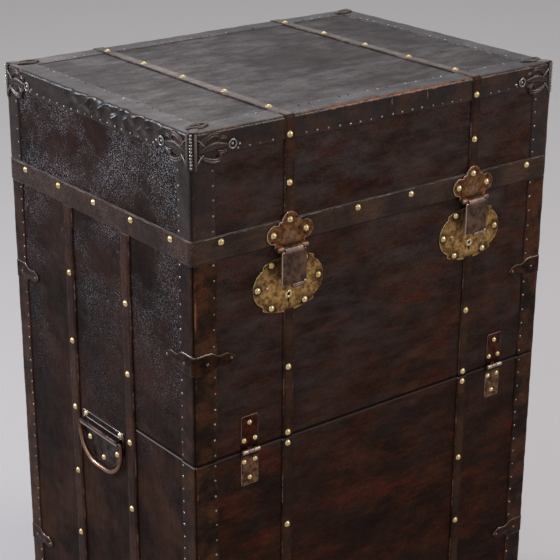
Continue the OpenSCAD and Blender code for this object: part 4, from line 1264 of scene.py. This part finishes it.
def corner_iron(shell, corner, level, way, base):
    """Pressed corner iron: a bead row on the arris between two rolls, and on each face a wing of
    curling leaves from a root by the arris to an eyelet. `way` is -1 where it hangs from the top, +1
    at the foot."""
    m = measures()
    drop = m.iron_drop

    def at(a, b, p):
        """Place: a from the sharp corner, positive along the front or back, b from the level."""
        return round_corner(corner, a, level + way * b, p)

    def out_of(a, b):
        """Way out of the face at a place."""
        spot = np.atleast_1d(np.asarray(a, float)), np.atleast_1d(np.asarray(b, float))
        return at(*spot, 1.0) - at(*spot, 0.0)

    z = np.linspace(0, drop, 20)
    skin(shell, lambda u, d, p: at(d, u, base + p), z, -9.5, 9.5, 0.8, np.linspace(-7.5, 7.5, 13))
    for a in (-6.3, 5.6):
        roll = at(np.full(12, a), np.linspace(1.2, drop - 0.5, 12), base + 0.5)
        tube(shell, roll, 2.2, out_of(a, 10)[0], sides=10, worn=np.linspace(0.8, 0.1, 14)[:, None])
    beads = np.arange(2.6, drop - 1, 4.3)
    middle = 0 * beads - 0.2
    domes(shell, at(middle, beads, base + 0.4), out_of(middle, beads), 2.1, 2.0, rings=5, worn=0.85)
    for side in (1, -1):
        def place(a, b, p, side=side):
            """The same on one of the two faces."""
            return at(side * a, b, p)

        leaves = (
            # spine from the root, half widths, height
            ([(8, 27), (20, 24), (34, 21), (48, 22), (58, 23)], [2, 5.2, 6.6, 4.6, 2], 2.5),
            ([(9, 25), (17, 15), (27, 8), (38, 7), (43, 13), (38, 16)], [1.5, 4.2, 4.8, 4.4, 3.0, 1], 2.2),
            ([(9, 29), (19, 36), (31, 41), (42, 41), (46, 35), (40, 33)], [1.5, 3.8, 4.8, 4.4, 3.0, 1], 2.2),
            ([(38, 17), (46, 12), (53, 13), (56, 18)], [1, 3.0, 2.8, 0.8], 1.6),
            ([(38, 27), (46, 31), (53, 30), (56, 26)], [1, 3.0, 2.8, 0.8], 1.6),
        )
        for spine, width, high in leaves:
            blade(shell, place, spine, width, base, high + 0.7, 1.1, worn=0.12)
        # thin ribs that spring from the rolls
        for spine in ([(7, 44), (10, 38), (15, 32), (19, 30)], [(7, 9), (12, 12), (18, 18), (22, 21)]):
            blade(shell, place, spine, [0.5, 1.3, 1.3, 0.5], base + 0.3, 2.4, worn=1.0)
        # the eyelet with its stud, and a second stud beyond it
        turn = np.arange(28) / 28 * 2 * np.pi
        ring = place(64 + 5.8 * np.cos(turn), 23 + 5.8 * np.sin(turn), base + 0.8)
        out = out_of(side * 64.0, 23.0)
        tube(shell, ring, 1.5, out[0], sides=8, close_u=True, worn=0.7)
        for a, b, radius, height in ((64.0, 23.0, 2.4, 2.2), (76.0, 25.0, 2.1, 1.8)):
            stud = place(np.array([a]), np.array([b]), base - 0.3)
            domes(shell, stud, out, radius, height, sides=12, worn=1.0)


class TRUNK_OT_corner_irons(bpy.types.Operator):
    """Pressed irons on the lid's corners and at the foot of the body"""

    bl_idname = "trunk.corner_irons"
    bl_label = "Corner irons"

    def execute(self, context):
        m = measures()
        base = m.binding
        shell = Shell()
        for corner in CORNERS:
            corner_iron(shell, corner, TOP + base, -1, base)
            # on the top, a plain pressed cap over the corner with a long eyelet lying on it
            sx, sy = 1 if "right" in corner else -1, 1 if "back" in corner else -1

            def top(a, b, p, sx=sx, sy=sy):
                """Place on the top: a and b in from the two faces."""
                a, b, p = np.broadcast_arrays(a, b, p)
                return np.stack([sx * (HALF_W - a), sy * (HALF_D - b), TOP + p], -1)

            blade(shell, top, [(1.5, 1.5), (7, 6), (14, 12), (22, 18)], [3, 6.5, 7, 3], base, 1.8, worn=0.3)
            blade(shell, top, [(17, 20), (25, 22), (33, 23)], [1, 3, 1], base, 1.2, worn=0.2)
            t = np.arange(36) / 36 * 2 * np.pi
            c, s = np.cos(t), np.sin(t)
            ring = top(25 + 15 * c - 0.8 * s, 21.5 + 6.5 * s + 1.5 * c, base + 1.0)
            tube(shell, ring, 2.7, OUT["top"], sides=10, close_u=True, worn=0.1)
        shell.piece("lid_corner_irons", "lid", "Blackened iron", ["lid_irons"], slot="corner_iron")
        shell = Shell()
        for corner in CORNERS:
            corner_iron(shell, corner, BASE, 1, base)
        shell.piece("body_corner_irons", "carcass", "Blackened iron", ["base_irons"], slot="corner_iron")
        return {"FINISHED"}


def bracket(shell, corner, z):
    """Strap bracket bent round an arris: its half height runs full by the arris, draws in, swells to a
    spade and ends in a point, the same on both faces, with a raised border and two tacks each."""
    base = measures().binding
    reach = np.array([0, 8, 18, 27, 32, 37, 42, 48, 54, 60, 65, BRACKET_REACH])
    half = np.array([14, 14.4, 14.8, 14.6, 12.4, 9, 8, 9, 9.4, 6.8, 3.2, 0])
    d = np.unique(np.concatenate([np.linspace(-BRACKET_REACH, BRACKET_REACH, 110), np.linspace(-6, 6, 13)]))
    tall = np.interp(np.abs(d), reach, half)
    t = np.linspace(-1, 1, 15)[None]
    h = tall[:, None] * np.sign(t) * np.abs(t) ** 0.7
    inset = (1 - np.abs(t)) * tall[:, None]
    border = hump(inset, 0, 1.6)
    ridge = hump(h, 0, 3.0) * np.clip((np.abs(d[:, None]) - 12) / 10, 0, 1)
    p = 0.9 + 0.25 * border + 0.7 * ridge
    edge = np.clip(inset / 0.5, 0, 1)
    face = round_corner(corner, d[:, None] + 0 * t, z + h, base + p * edge)
    back = round_corner(corner, d[:, None] + 0 * t[:, 1:-1], z + h[:, 1:-1][:, ::-1], base + 0 * h[:, 1:-1])
    # upper border brighter than the lower: a painted highlight over the rubbed border
    above = 0.25 + 0.75 * (t > 0)
    wear = np.concatenate([np.clip(border * above, 0, 1), 0 * h[:, 1:-1]], 1)
    shell.add(np.concatenate([face, back], 1), worn=wear)
    places = np.array([20.0, 60.0, -20.0, -60.0])
    at = round_corner(corner, places, z, base + 1.0)
    domes(shell, at, corner_out(corner, places, z), 2.6, 1.9, sides=12, worn=0.95)


class TRUNK_OT_brackets(bpy.types.Operator):
    """Brackets bent round the corners of the fall front and the body"""

    bl_idname = "trunk.brackets"
    bl_label = "Corner brackets"

    def execute(self, context):
        shell = Shell()
        for corner in CORNERS[:2]:
            bracket(shell, corner, BRACKET_HIGH)
        shell.piece("fall_front_brackets", "fall_front", "Brown painted iron", ["door_brackets"],
                    slot="corner_iron")
        shell = Shell()
        for corner in CORNERS:
            bracket(shell, corner, BRACKET_LOW)
            if corner.startswith("back"):
                bracket(shell, corner, BRACKET_HIGH)
        shell.piece("body_brackets", "carcass", "Brown painted iron", ["carcass_brackets"],
                    slot="corner_iron")
        return {"FINISHED"}


def leaf(shell, face, t, axis_z, way, width, height, middle):
    """Hinge leaf: a plate with round corners standing up (way +1) or down (-1) from its barrel, and
    the middle or the outer thirds of the barrel, each joined to the plate by a curled root."""
    m = measures()
    low = m.barrel + 1
    side = 1 if face in ("front", "right") else -1

    def outline(w):
        """The leaf's rectangle, from its own middle."""
        return round_box(w, width / 2, (height - low) / 2, ROUND_LEAF_POWER)

    def place(a, b, p):
        """Place on the leaf: a across it, b from the barrel's axis."""
        return on_face(face, t + side * a, axis_z + way * b, p)

    plate(
        shell, place, outline, plate_profile(0.05, m.leaf), centre=(0, (height + low) / 2), angles=120,
        # bright border, and darker beside the barrel
        worn=lambda a, b, e: np.clip(1 - e / 1.2, 0, 1) * 0.5 - 1.1 * hump(b, low, 7),
    )
    third = width / 3
    half = third / 2
    spans = [(0.3 - half, half - 0.3)] if middle else [(-width / 2, -half), (half, width / 2)]
    for start, end in spans:
        origin = on_face(face, t, axis_z, m.barrel + 0.5)
        axis = side * np.abs(np.cross((0, 0, 1), OUT[face]))
        # pale knuckles: rubbed, and a painted highlight along the barrel
        turned(shell, origin, axis, barrel_profile(start, end, m.barrel, 0.5), worn=0.65)
        # root: from the barrel's outer half down to the plate
        h = np.linspace(0, 1, 6)
        b = m.barrel * 0.2 + (low + 1.5 - m.barrel * 0.2) * h
        top = m.leaf + (m.barrel + 1.5 - m.leaf) * (1 - h) ** 1.5
        section_b, section_p = np.concatenate([b, b[::-1]]), np.concatenate([top, 0.05 + 0 * h])
        a = np.array([start + 0.2, end - 0.2])[:, None]
        shell.add(capped(place(a, section_b[None], section_p[None])), worn=-0.6)


class TRUNK_OT_hinges(bpy.types.Operator):
    """Butt hinges under the fall front and at the back of the lid"""

    bl_idname = "trunk.hinges"
    bl_label = "Hinges"

    def execute(self, context):
        m = measures()
        seam_x = span("seam_hinge_upper_leaves")[1][0] - m.hinge_w / 2
        lid_x = span("lid_hinge_upper_leaves")[1][0] - m.lid_hinge_w / 2
        jobs = (
            ("seam_upper_leaves", "fall_front", "front", seam_x, SEAM_AXIS, 1, m.hinge_w, m.leaf_h, True,
             "Red painted iron", "seam_hinge_upper_leaves"),
            ("seam_lower_leaves", "carcass", "front", seam_x, SEAM_AXIS, -1, m.hinge_w, m.leaf_h, False,
             "Bronze painted iron", "seam_hinge_lower_leaves"),
            ("lid_upper_leaves", "lid", "back", lid_x, LID_AXIS, 1, m.lid_hinge_w, m.lid_leaf_h, True,
             "Bronze painted iron", "lid_hinge_upper_leaves"),
            ("lid_lower_leaves", "carcass", "back", lid_x, LID_AXIS, -1, m.lid_hinge_w, m.lid_leaf_h, False,
             "Bronze painted iron", "lid_hinge_lower_leaves"),
        )
        for name, body, face, x, z, way, width, height, middle, finish, node in jobs:
            shell = Shell()
            for side in (-1, 1):
                leaf(shell, face, side * x, z, way, width, height, middle)
            shell.piece(name, body, finish, [node], slot="hinge_iron")
        return {"FINISHED"}


def lock_reach(way):
    """Lock plate outline from its keyhole: a lens of two arcs clipped at the sides, and two round
    ends; where an arc meets a round end there is a small cusp."""
    m = measures()
    down = KEY_Z - LOCK_Z
    arc, end = 117, 30
    dip = arc - m.lock_h / 2
    lens = np.minimum(reach_circle(way, 0, dip - down, arc), reach_circle(way, 0, -dip - down, arc))
    body = m.lock_w / 2 - 17
    lens = np.minimum(lens, reach_box(way, -body, body, -200, 200))
    ends = [reach_circle(way, s * (m.lock_w / 2 - end), -down, end) for s in (-1, 1)]
    return np.maximum(lens, np.maximum(*ends))


def key_reach(way):
    """Keyhole: a round hole over a slot."""
    return np.maximum(2.3, reach_box(way, -1.8, 1.8, -11.5, 2))


def stud_shade(a, b):
    """Painted shade round the six studs of a lock plate."""
    total = 0
    for x, z in ((53, 0), (29, 31.5), (29, -31.5)):
        total = total + np.exp(-((((np.abs(a) - x) ** 2 + (b + KEY_Z - LOCK_Z - z) ** 2) / 70)))
    return 1.3 * total


class TRUNK_OT_locks(bpy.types.Operator):
    """Lock plates with their keyholes on the fall front"""

    bl_idname = "trunk.locks"
    bl_label = "Locks"

    def execute(self, context):
        m = measures()
        shell, rings = Shell(), Shell()

        def worn(a, b, e):
            """Bright border, partly rubbed and partly a painted highlight, which is why most of it is on the
            left; a darker band just inside it; and painted shade round the studs.
            """
            border = np.clip(1 - e / 1.5, 0, 1) * (0.35 + 0.6 * (a < 0))
            return border - stud_shade(a, b) - 0.5 * hump(e, 5, 3.5)

        for side in (-1, 1):
            def place(a, b, p, side=side):
                """Place on the plate, from the keyhole."""
                return on_face("front", side * STRAP_X + a, KEY_Z + b, p)

            def dented(a, b, side=side):
                """Dents of the sheet."""
                return ripple(a, b, 30 + side, [(31, 0.1), (17, 0.06), (11, 0.05)])

            plate(
                shell, place, lock_reach, plate_profile(0.05, m.plate, 0.5, 0.25, 9), inner=key_reach,
                relief=dented, worn=worn, angles=240,
            )
            centre = on_face("front", side * STRAP_X, KEY_Z, 0.0)
            turned(rings, centre, (0, -1, 0),
                   [(m.plate - 0.2, 2.4), (m.plate - 0.2, 5.6), (m.plate + 0.7, 6.0), (m.plate + 1.5, 5.2),
                    (m.plate + 1.8, 4.2), (m.plate + 1.5, 3.0), (m.plate + 0.6, 2.4), (m.plate - 0.2, 2.4)],
                   sides=28, worn=0.9)
            rivet = on_face("front", side * STRAP_X - 37, LOCK_Z, m.plate + 0.2)
            domes(shell, rivet, OUT["front"], 2.2, 1.6, worn=0.8)
        shell.piece("lock_plate_pair", "fall_front", "Tarnished sheet brass", ["lock_plates"],
                    slot="lock_brass")
        rings.piece("keyhole_rings", "fall_front", "Tarnished sheet brass", ["escutcheons"],
                    slot="lock_brass")
        return {"FINISHED"}


def trefoil_reach(way):
    """Hasp plate outline: three round lobes, a small nub between each two, and a square foot."""
    lobes = [(0, 36, 14), (-26.5, 20.5, 13.5), (26.5, 20.5, 13.5), (-16, 33.5, 4), (16, 33.5, 4)]
    middle = TREFOIL_MIDDLE
    reach = np.maximum(reach_box(way, -26, 26, -middle, 9), reach_box(way, -12, 12, -middle, 21))
    for x, z, r in lobes:
        reach = np.maximum(reach, reach_circle(way, x, z - middle, r))
    return reach


def lobe_stud_shade(a, b):
    """Painted shade round the three studs of a hasp plate."""
    places = ((0, 38), (-28, 20), (28, 20))
    return 0.8 * sum(np.exp(-((a - x) ** 2 + (b - z) ** 2) / 60) for x, z in places)


def trefoil_wear(a, b, e):
    """Bright border of a hasp plate, partly rubbed and partly a painted highlight, most of it on the left, a
    rubbed middle, and painted shade round its studs.
    """
    border = np.clip(1 - e / 2.2, 0, 1) * (0.25 + 0.9 * (a < 0))
    return border + 0.15 * np.exp(-((a**2 + (b - 14) ** 2) / 160)) - lobe_stud_shade(a, b)


class TRUNK_OT_hasps(bpy.types.Operator):
    """Three-lobed hasp plates on the band, and the flaps that hang from them over the locks"""

    bl_idname = "trunk.hasps"
    bl_label = "Hasps"

    def execute(self, context):
        m = measures()
        base, radius = m.strap, HASP_BARREL
        outer = 0.3 * HASP_BARREL_W
        shell = Shell()
        for side in (-1, 1):
            def place(a, b, p, side=side):
                """Place on the plate, from the middle of its barrel."""
                return on_face("front", side * STRAP_X + a, HASP_Z + b, p)

            plate(
                shell, place, trefoil_reach, plate_profile(base, m.plate, 0.5, 0.3, 7),
                centre=(0, TREFOIL_MIDDLE), relief=lambda a, b: ripple(a, b, 41, [(27, 0.1), (13, 0.06)]),
                worn=trefoil_wear, angles=200,
            )
            origin = on_face("front", side * STRAP_X, HASP_Z, HASP_P)
            for start, end in ((-HASP_BARREL_W / 2, -outer), (outer, HASP_BARREL_W / 2)):
                turned(shell, origin, (1, 0, 0), barrel_profile(start, end, radius, 0.7), worn=0.15)
                h = np.linspace(0, 1, 5)
                a = np.array([start + 0.3, end - 0.3])[:, None]
                b = np.concatenate([-1.0 + 0 * h, [3.5, 3.5]])
                p = np.concatenate([base + (HASP_P - base) * h, [HASP_P, base]])
                shell.add(capped(place(a, b[None], p[None])), worn=0.2)
        shell.piece("hasp_plate_pair", "lid", "Coppered brass", ["hasp_plates"], slot="hasp_copper")
        for side, body in ((-1, "hasp_left"), (1, "hasp_right")):
            shell = Shell()

            def place(a, b, p, side=side):
                """Place on the flap, from the middle of its hinge's axis."""
                return on_face("front", side * STRAP_X + a, HASP_Z + b, HASP_P + p)

            inner = outer - 0.3
            # the middle of the barrel is three pieces with bright joints between them
            for start, end in ((-inner, -inner * 0.42), (-inner * 0.4, inner * 0.4), (inner * 0.42, inner)):
                turned(shell, place(0, 0, 0), (1, 0, 0), barrel_profile(start, end, radius, 0.7), worn=-0.4)
            low, high = radius - 0.5, radius + 2.0
            half, tall = m.flap_w / 2, (m.flap_l - 3) / 2
            plate(
                shell, place, lambda w: round_box(w, half, tall, ROUND_FLAP_POWER),
                plate_profile(low, high - low, 0.8, 0.0, 8), centre=(0, -3 - tall),
                relief=lambda a, b: ripple(a, b, 43 + side, [(29, 0.09), (12, 0.05)]) - 0.2,
                # bright border, partly rubbed, and a painted highlight along the left edge
                worn=lambda a, b, e: np.clip(1 - e / 1.9, 0, 1) * (0.1 + 0.9 * (a < -half + 4)),
            )
            # root joining barrel and flap
            s = np.array([(-6, low), (-6, high), (-2.5, high), (1, 3.84), (0, 0), (-3, 0)], float)
            a = np.linspace(-inner + 0.3, inner - 0.3, 6)[:, None]
            shell.add(capped(place(a, s[None, :, 0], s[None, :, 1])), worn=0.15)
            # finger lip: a rounded bar under the lower edge, right of the middle, and the pin end by it
            bar = place(np.linspace(-4, 16, 10), -m.flap_l - 3.0, high - 0.6)
            tube(shell, bar, 2.1, OUT["front"], sides=10, worn=0.1, flat=0.8)
            neck = place(np.linspace(-3, 15, 6), -m.flap_l - 0.5, high - 1.0)
            tube(shell, neck, 1.6, OUT["front"], sides=8, worn=0.2)
            domes(shell, place(half - 3, -m.flap_l + 1.5, high), OUT["front"], 2.0, 1.2, worn=0.9)
            name = "hasp_flap_" + body[5:]
            shell.piece(name + "_dressed", body, "Bronzed brass", [name], slot="hasp_copper")
        return {"FINISHED"}


class TRUNK_OT_handles(bpy.types.Operator):
    """Handle plates with their sleeves, and the D-shaped bails"""

    bl_idname = "trunk.handles"
    bl_label = "Handles"

    def execute(self, context):
        m = measures()
        z0 = BAIL_TOP - m.bail
        bail_p = sum(span("bail_right"))[0] / 2 - HALF_W
        shell = Shell()

        def outline(w):
            """Rectangle across the top with clipped corners, and a bag that narrows below: each slanting
            side is a line with a normal (nx, nz) and a distance from the plate's middle."""
            half, low, top = m.handle_w / 2, HANDLE_TOP - m.handle_h, HANDLE_TOP
            reach = reach_box(w, -half, half, low + 12, top + 12)
            for nx, nz, far in ((0.757, -0.654, 45.8), (0.707, 0.707, 60)):
                for mirror in (1, -1):
                    along = mirror * nx * np.cos(w) + nz * np.sin(w)
                    reach = np.minimum(reach, np.where(along > 1e-6, far / np.maximum(along, 1e-6), 1e9))
            return reach

        for face in ("left", "right"):
            side = 1 if face == "right" else -1

            def place(a, b, p, face=face, side=side):
                """Place on the plate, from the middle of the bail's bar."""
                return on_face(face, side * a, z0 + b, p)

            plate(
                shell, place, outline, plate_profile(0.05, 1.6, 0.5, 0.6, 6), centre=(0, -12), angles=200,
                relief=lambda a, b: ripple(a, b, 47, [(33, 0.08), (15, 0.05)]),
                # bright border: rubbed, and brighter on the upper half as a painted highlight
                worn=lambda a, b, e: np.clip(1 - e / 1.8, 0, 1) * np.where(b > 0, 1.0, 0.2),
            )
            # sleeve: a half-round channel over the bail's bar, with a raised bead along each foot
            t = np.linspace(0, np.pi, 12)
            foot = 1.5
            b = np.concatenate([[SLEEVE + 0.6], SLEEVE * np.cos(t), [-SLEEVE - 0.6]])
            p = np.concatenate([[foot], bail_p + SLEEVE * np.sin(t), [foot]])
            end = SLEEVE_W / 2
            a = np.array([-end, 0.7 - end, 2 - end, 0, end - 2, end - 0.7, end])[:, None]
            shrink = np.array([0.9, 0.97, 1, 1, 1, 0.97, 0.9])[:, None]
            # a pale line along the front of the channel: painted highlight
            worn = np.broadcast_to(0.7 * hump(b, -0.6, 1.3), (len(a), len(p)))
            worn = np.concatenate([worn[:1], worn, worn[:1]])
            shell.add(capped(place(a, b[None] * shrink, foot + (p[None] - foot) * shrink)), worn=worn)
            for b in (SLEEVE + 1, -SLEEVE - 1):
                line = place(np.linspace(-end - 1, end + 1, 12), b, 1.7)
                tube(shell, line, 0.9, OUT[face], sides=8, worn=0.3)
        shell.piece("handle_plate_pair", "carcass", "Bronzed steel", ["handle_plates"], slot="handle_copper")
        # D-shaped bar: straight top, short legs, a wide round below
        corner, elbow = BAIL_ROUND, BAIL_ELBOW
        for face in ("left", "right"):
            shell = Shell()
            side = 1 if face == "right" else -1
            x, drop = m.bail_x, m.bail_drop
            arc = np.linspace(0, np.pi / 2, 14)
            bow = np.linspace(0, np.pi / 2, 7)[1:]
            half = [
                (np.linspace(0, x - elbow, 10), np.zeros(10)),
                (x - elbow + elbow * np.sin(bow), -elbow + elbow * np.cos(bow)),
                (np.full(3, x), np.linspace(-elbow, corner - drop, 4)[1:]),
                (x - corner + corner * np.cos(arc[1:]), corner - drop - corner * np.sin(arc[1:])),
                (np.linspace(x - corner, 0, 5)[1:], np.full(4, -drop)),
            ]
            a, b = (np.concatenate(k) for k in zip(*half))
            a, b = np.concatenate([a, -a[-2:0:-1]]), np.concatenate([b, b[-2:0:-1]])
            path = on_face(face, side * a, z0 + b, bail_p)
            radius = m.bail - 0.5 + 0.5 * np.clip(-b / 40, 0, 1) ** 2
            # brighter low down where held, and a painted highlight low on the left side
            worn = (0.05 + 0.3 * np.clip(-b / drop, 0, 1) ** 2 + 0.25 * (a < 0) * (b < -12))[:, None]
            tube(shell, path, radius, OUT[face], sides=14, close_u=True, worn=worn)
            name = "bail_" + face
            shell.piece(name + "_dressed", name, "Coppered steel", [name], slot="handle_copper")
        return {"FINISHED"}


class TRUNK_OT_stage(bpy.types.Operator):
    """Floor, soft lights and the camera at the photographed angle"""

    bl_idname = "trunk.stage"
    bl_label = "Stage"

    def execute(self, context):
        scene = context.scene
        reach = 40
        corners = [(x * reach, y * reach, 0) for x, y in ((-1, -1), (1, -1), (1, 1), (-1, 1))]
        mesh = bpy.data.meshes.new("studio_floor")
        mesh.from_pydata(corners, [], [(0, 1, 2, 3)])
        floor = bpy.data.objects.new("studio_floor", mesh)
        scene.collection.objects.link(floor)
        made = bpy.data.materials.new("Matt floor paint")
        made.use_nodes = True
        made.node_tree.nodes.clear()
        shine(made.node_tree, linear("#beb8b5"), 0.85)
        mesh.materials.append(made)
        world = bpy.data.worlds.new("Studio")
        world.use_nodes = True
        world.node_tree.nodes.clear()
        glow = add(world.node_tree, "Background", {"Color": linear("#eef1f6"), "Strength": 0.6})
        add(world.node_tree, "OutputWorld", {"Surface": glow[0]})
        scene.world = world

        def lamp(name, place, target, size, power, colour):
            """Square soft light that looks at a target."""
            data = bpy.data.lights.new(name, "AREA")
            data.shape, data.size, data.energy, data.color = "SQUARE", size, power, linear(colour)[:3]
            held = bpy.data.objects.new(name, data)
            scene.collection.objects.link(held)
            way = np.array(target) - np.array(place)
            held.location = place
            held.rotation_euler = Vector(way).to_track_quat("-Z", "Y").to_euler()

        lamp("window_light", (-2.3, 2.2, 2.1), (0, 0, 0.9), 0.9, 72, "#e6efff")
        lamp("left_light", (-2.6, -0.6, 2.8), (0, 0, 0.8), 1.8, 20, "#f4f6ff")
        lamp("right_light", (2.2, -2.8, 2.7), (0, 0, 0.8), 1.0, 50, "#fff6ec")
        lamp("top_light", (1.6, 2.0, 6.0), (1.6, 2.0, 0), 5.0, 115, "#f4f6ff")
        camera = bpy.data.cameras.new("view")
        camera.lens, camera.sensor_width = VIEW_LENS, VIEW_SENSOR
        held = bpy.data.objects.new("view", camera)
        scene.collection.objects.link(held)
        placed = Matrix.Translation(VIEW_PLACE)
        for degrees, axis in VIEW_TURNS:
            placed = placed @ Matrix.Rotation(math.radians(degrees), 4, axis)
        held.matrix_world = placed
        scene.camera = held
        scene.view_settings.view_transform = "Standard"
        return {"FINISHED"}


STEPS = (
    TRUNK_OT_stage, TRUNK_OT_boards, TRUNK_OT_bindings, TRUNK_OT_straps, TRUNK_OT_band, TRUNK_OT_studs,
    TRUNK_OT_tacks, TRUNK_OT_corner_irons, TRUNK_OT_brackets, TRUNK_OT_hinges, TRUNK_OT_locks, TRUNK_OT_hasps,
    TRUNK_OT_handles,
)


class TRUNK_PT_dresser(bpy.types.Panel):
    """Sizes, colours and steps of the trunk"""

    bl_label = "Trunk"
    bl_idname = "TRUNK_PT_dresser"
    bl_space_type = "VIEW_3D"
    bl_region_type = "UI"
    bl_category = "Trunk"

    def draw(self, context):
        for step in STEPS:
            self.layout.operator(step.bl_idname)
        for group, held in (("Sizes", context.scene.trunk_sizes), ("Colours", context.scene.trunk_colours)):
            box = self.layout.box()
            box.label(text=group)
            for name in type(held).__annotations__:
                box.prop(held, name)


CLASSES = (TrunkSizes, TrunkColours, *STEPS, TRUNK_PT_dresser)


def register():
    """Adds the classes and the scene's two groups of settings."""
    for each in CLASSES:
        bpy.utils.register_class(each)
    bpy.types.Scene.trunk_sizes = PointerProperty(type=TrunkSizes)
    bpy.types.Scene.trunk_colours = PointerProperty(type=TrunkColours)


def unregister():
    """Takes them away again."""
    del bpy.types.Scene.trunk_sizes, bpy.types.Scene.trunk_colours
    for each in reversed(CLASSES):
        bpy.utils.unregister_class(each)


def main():
    """Registers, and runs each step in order."""
    register()
    for step in STEPS:
        group, name = step.bl_idname.split(".")
        getattr(getattr(bpy.ops, group), name)()


if __name__ == "__main__":
    main()
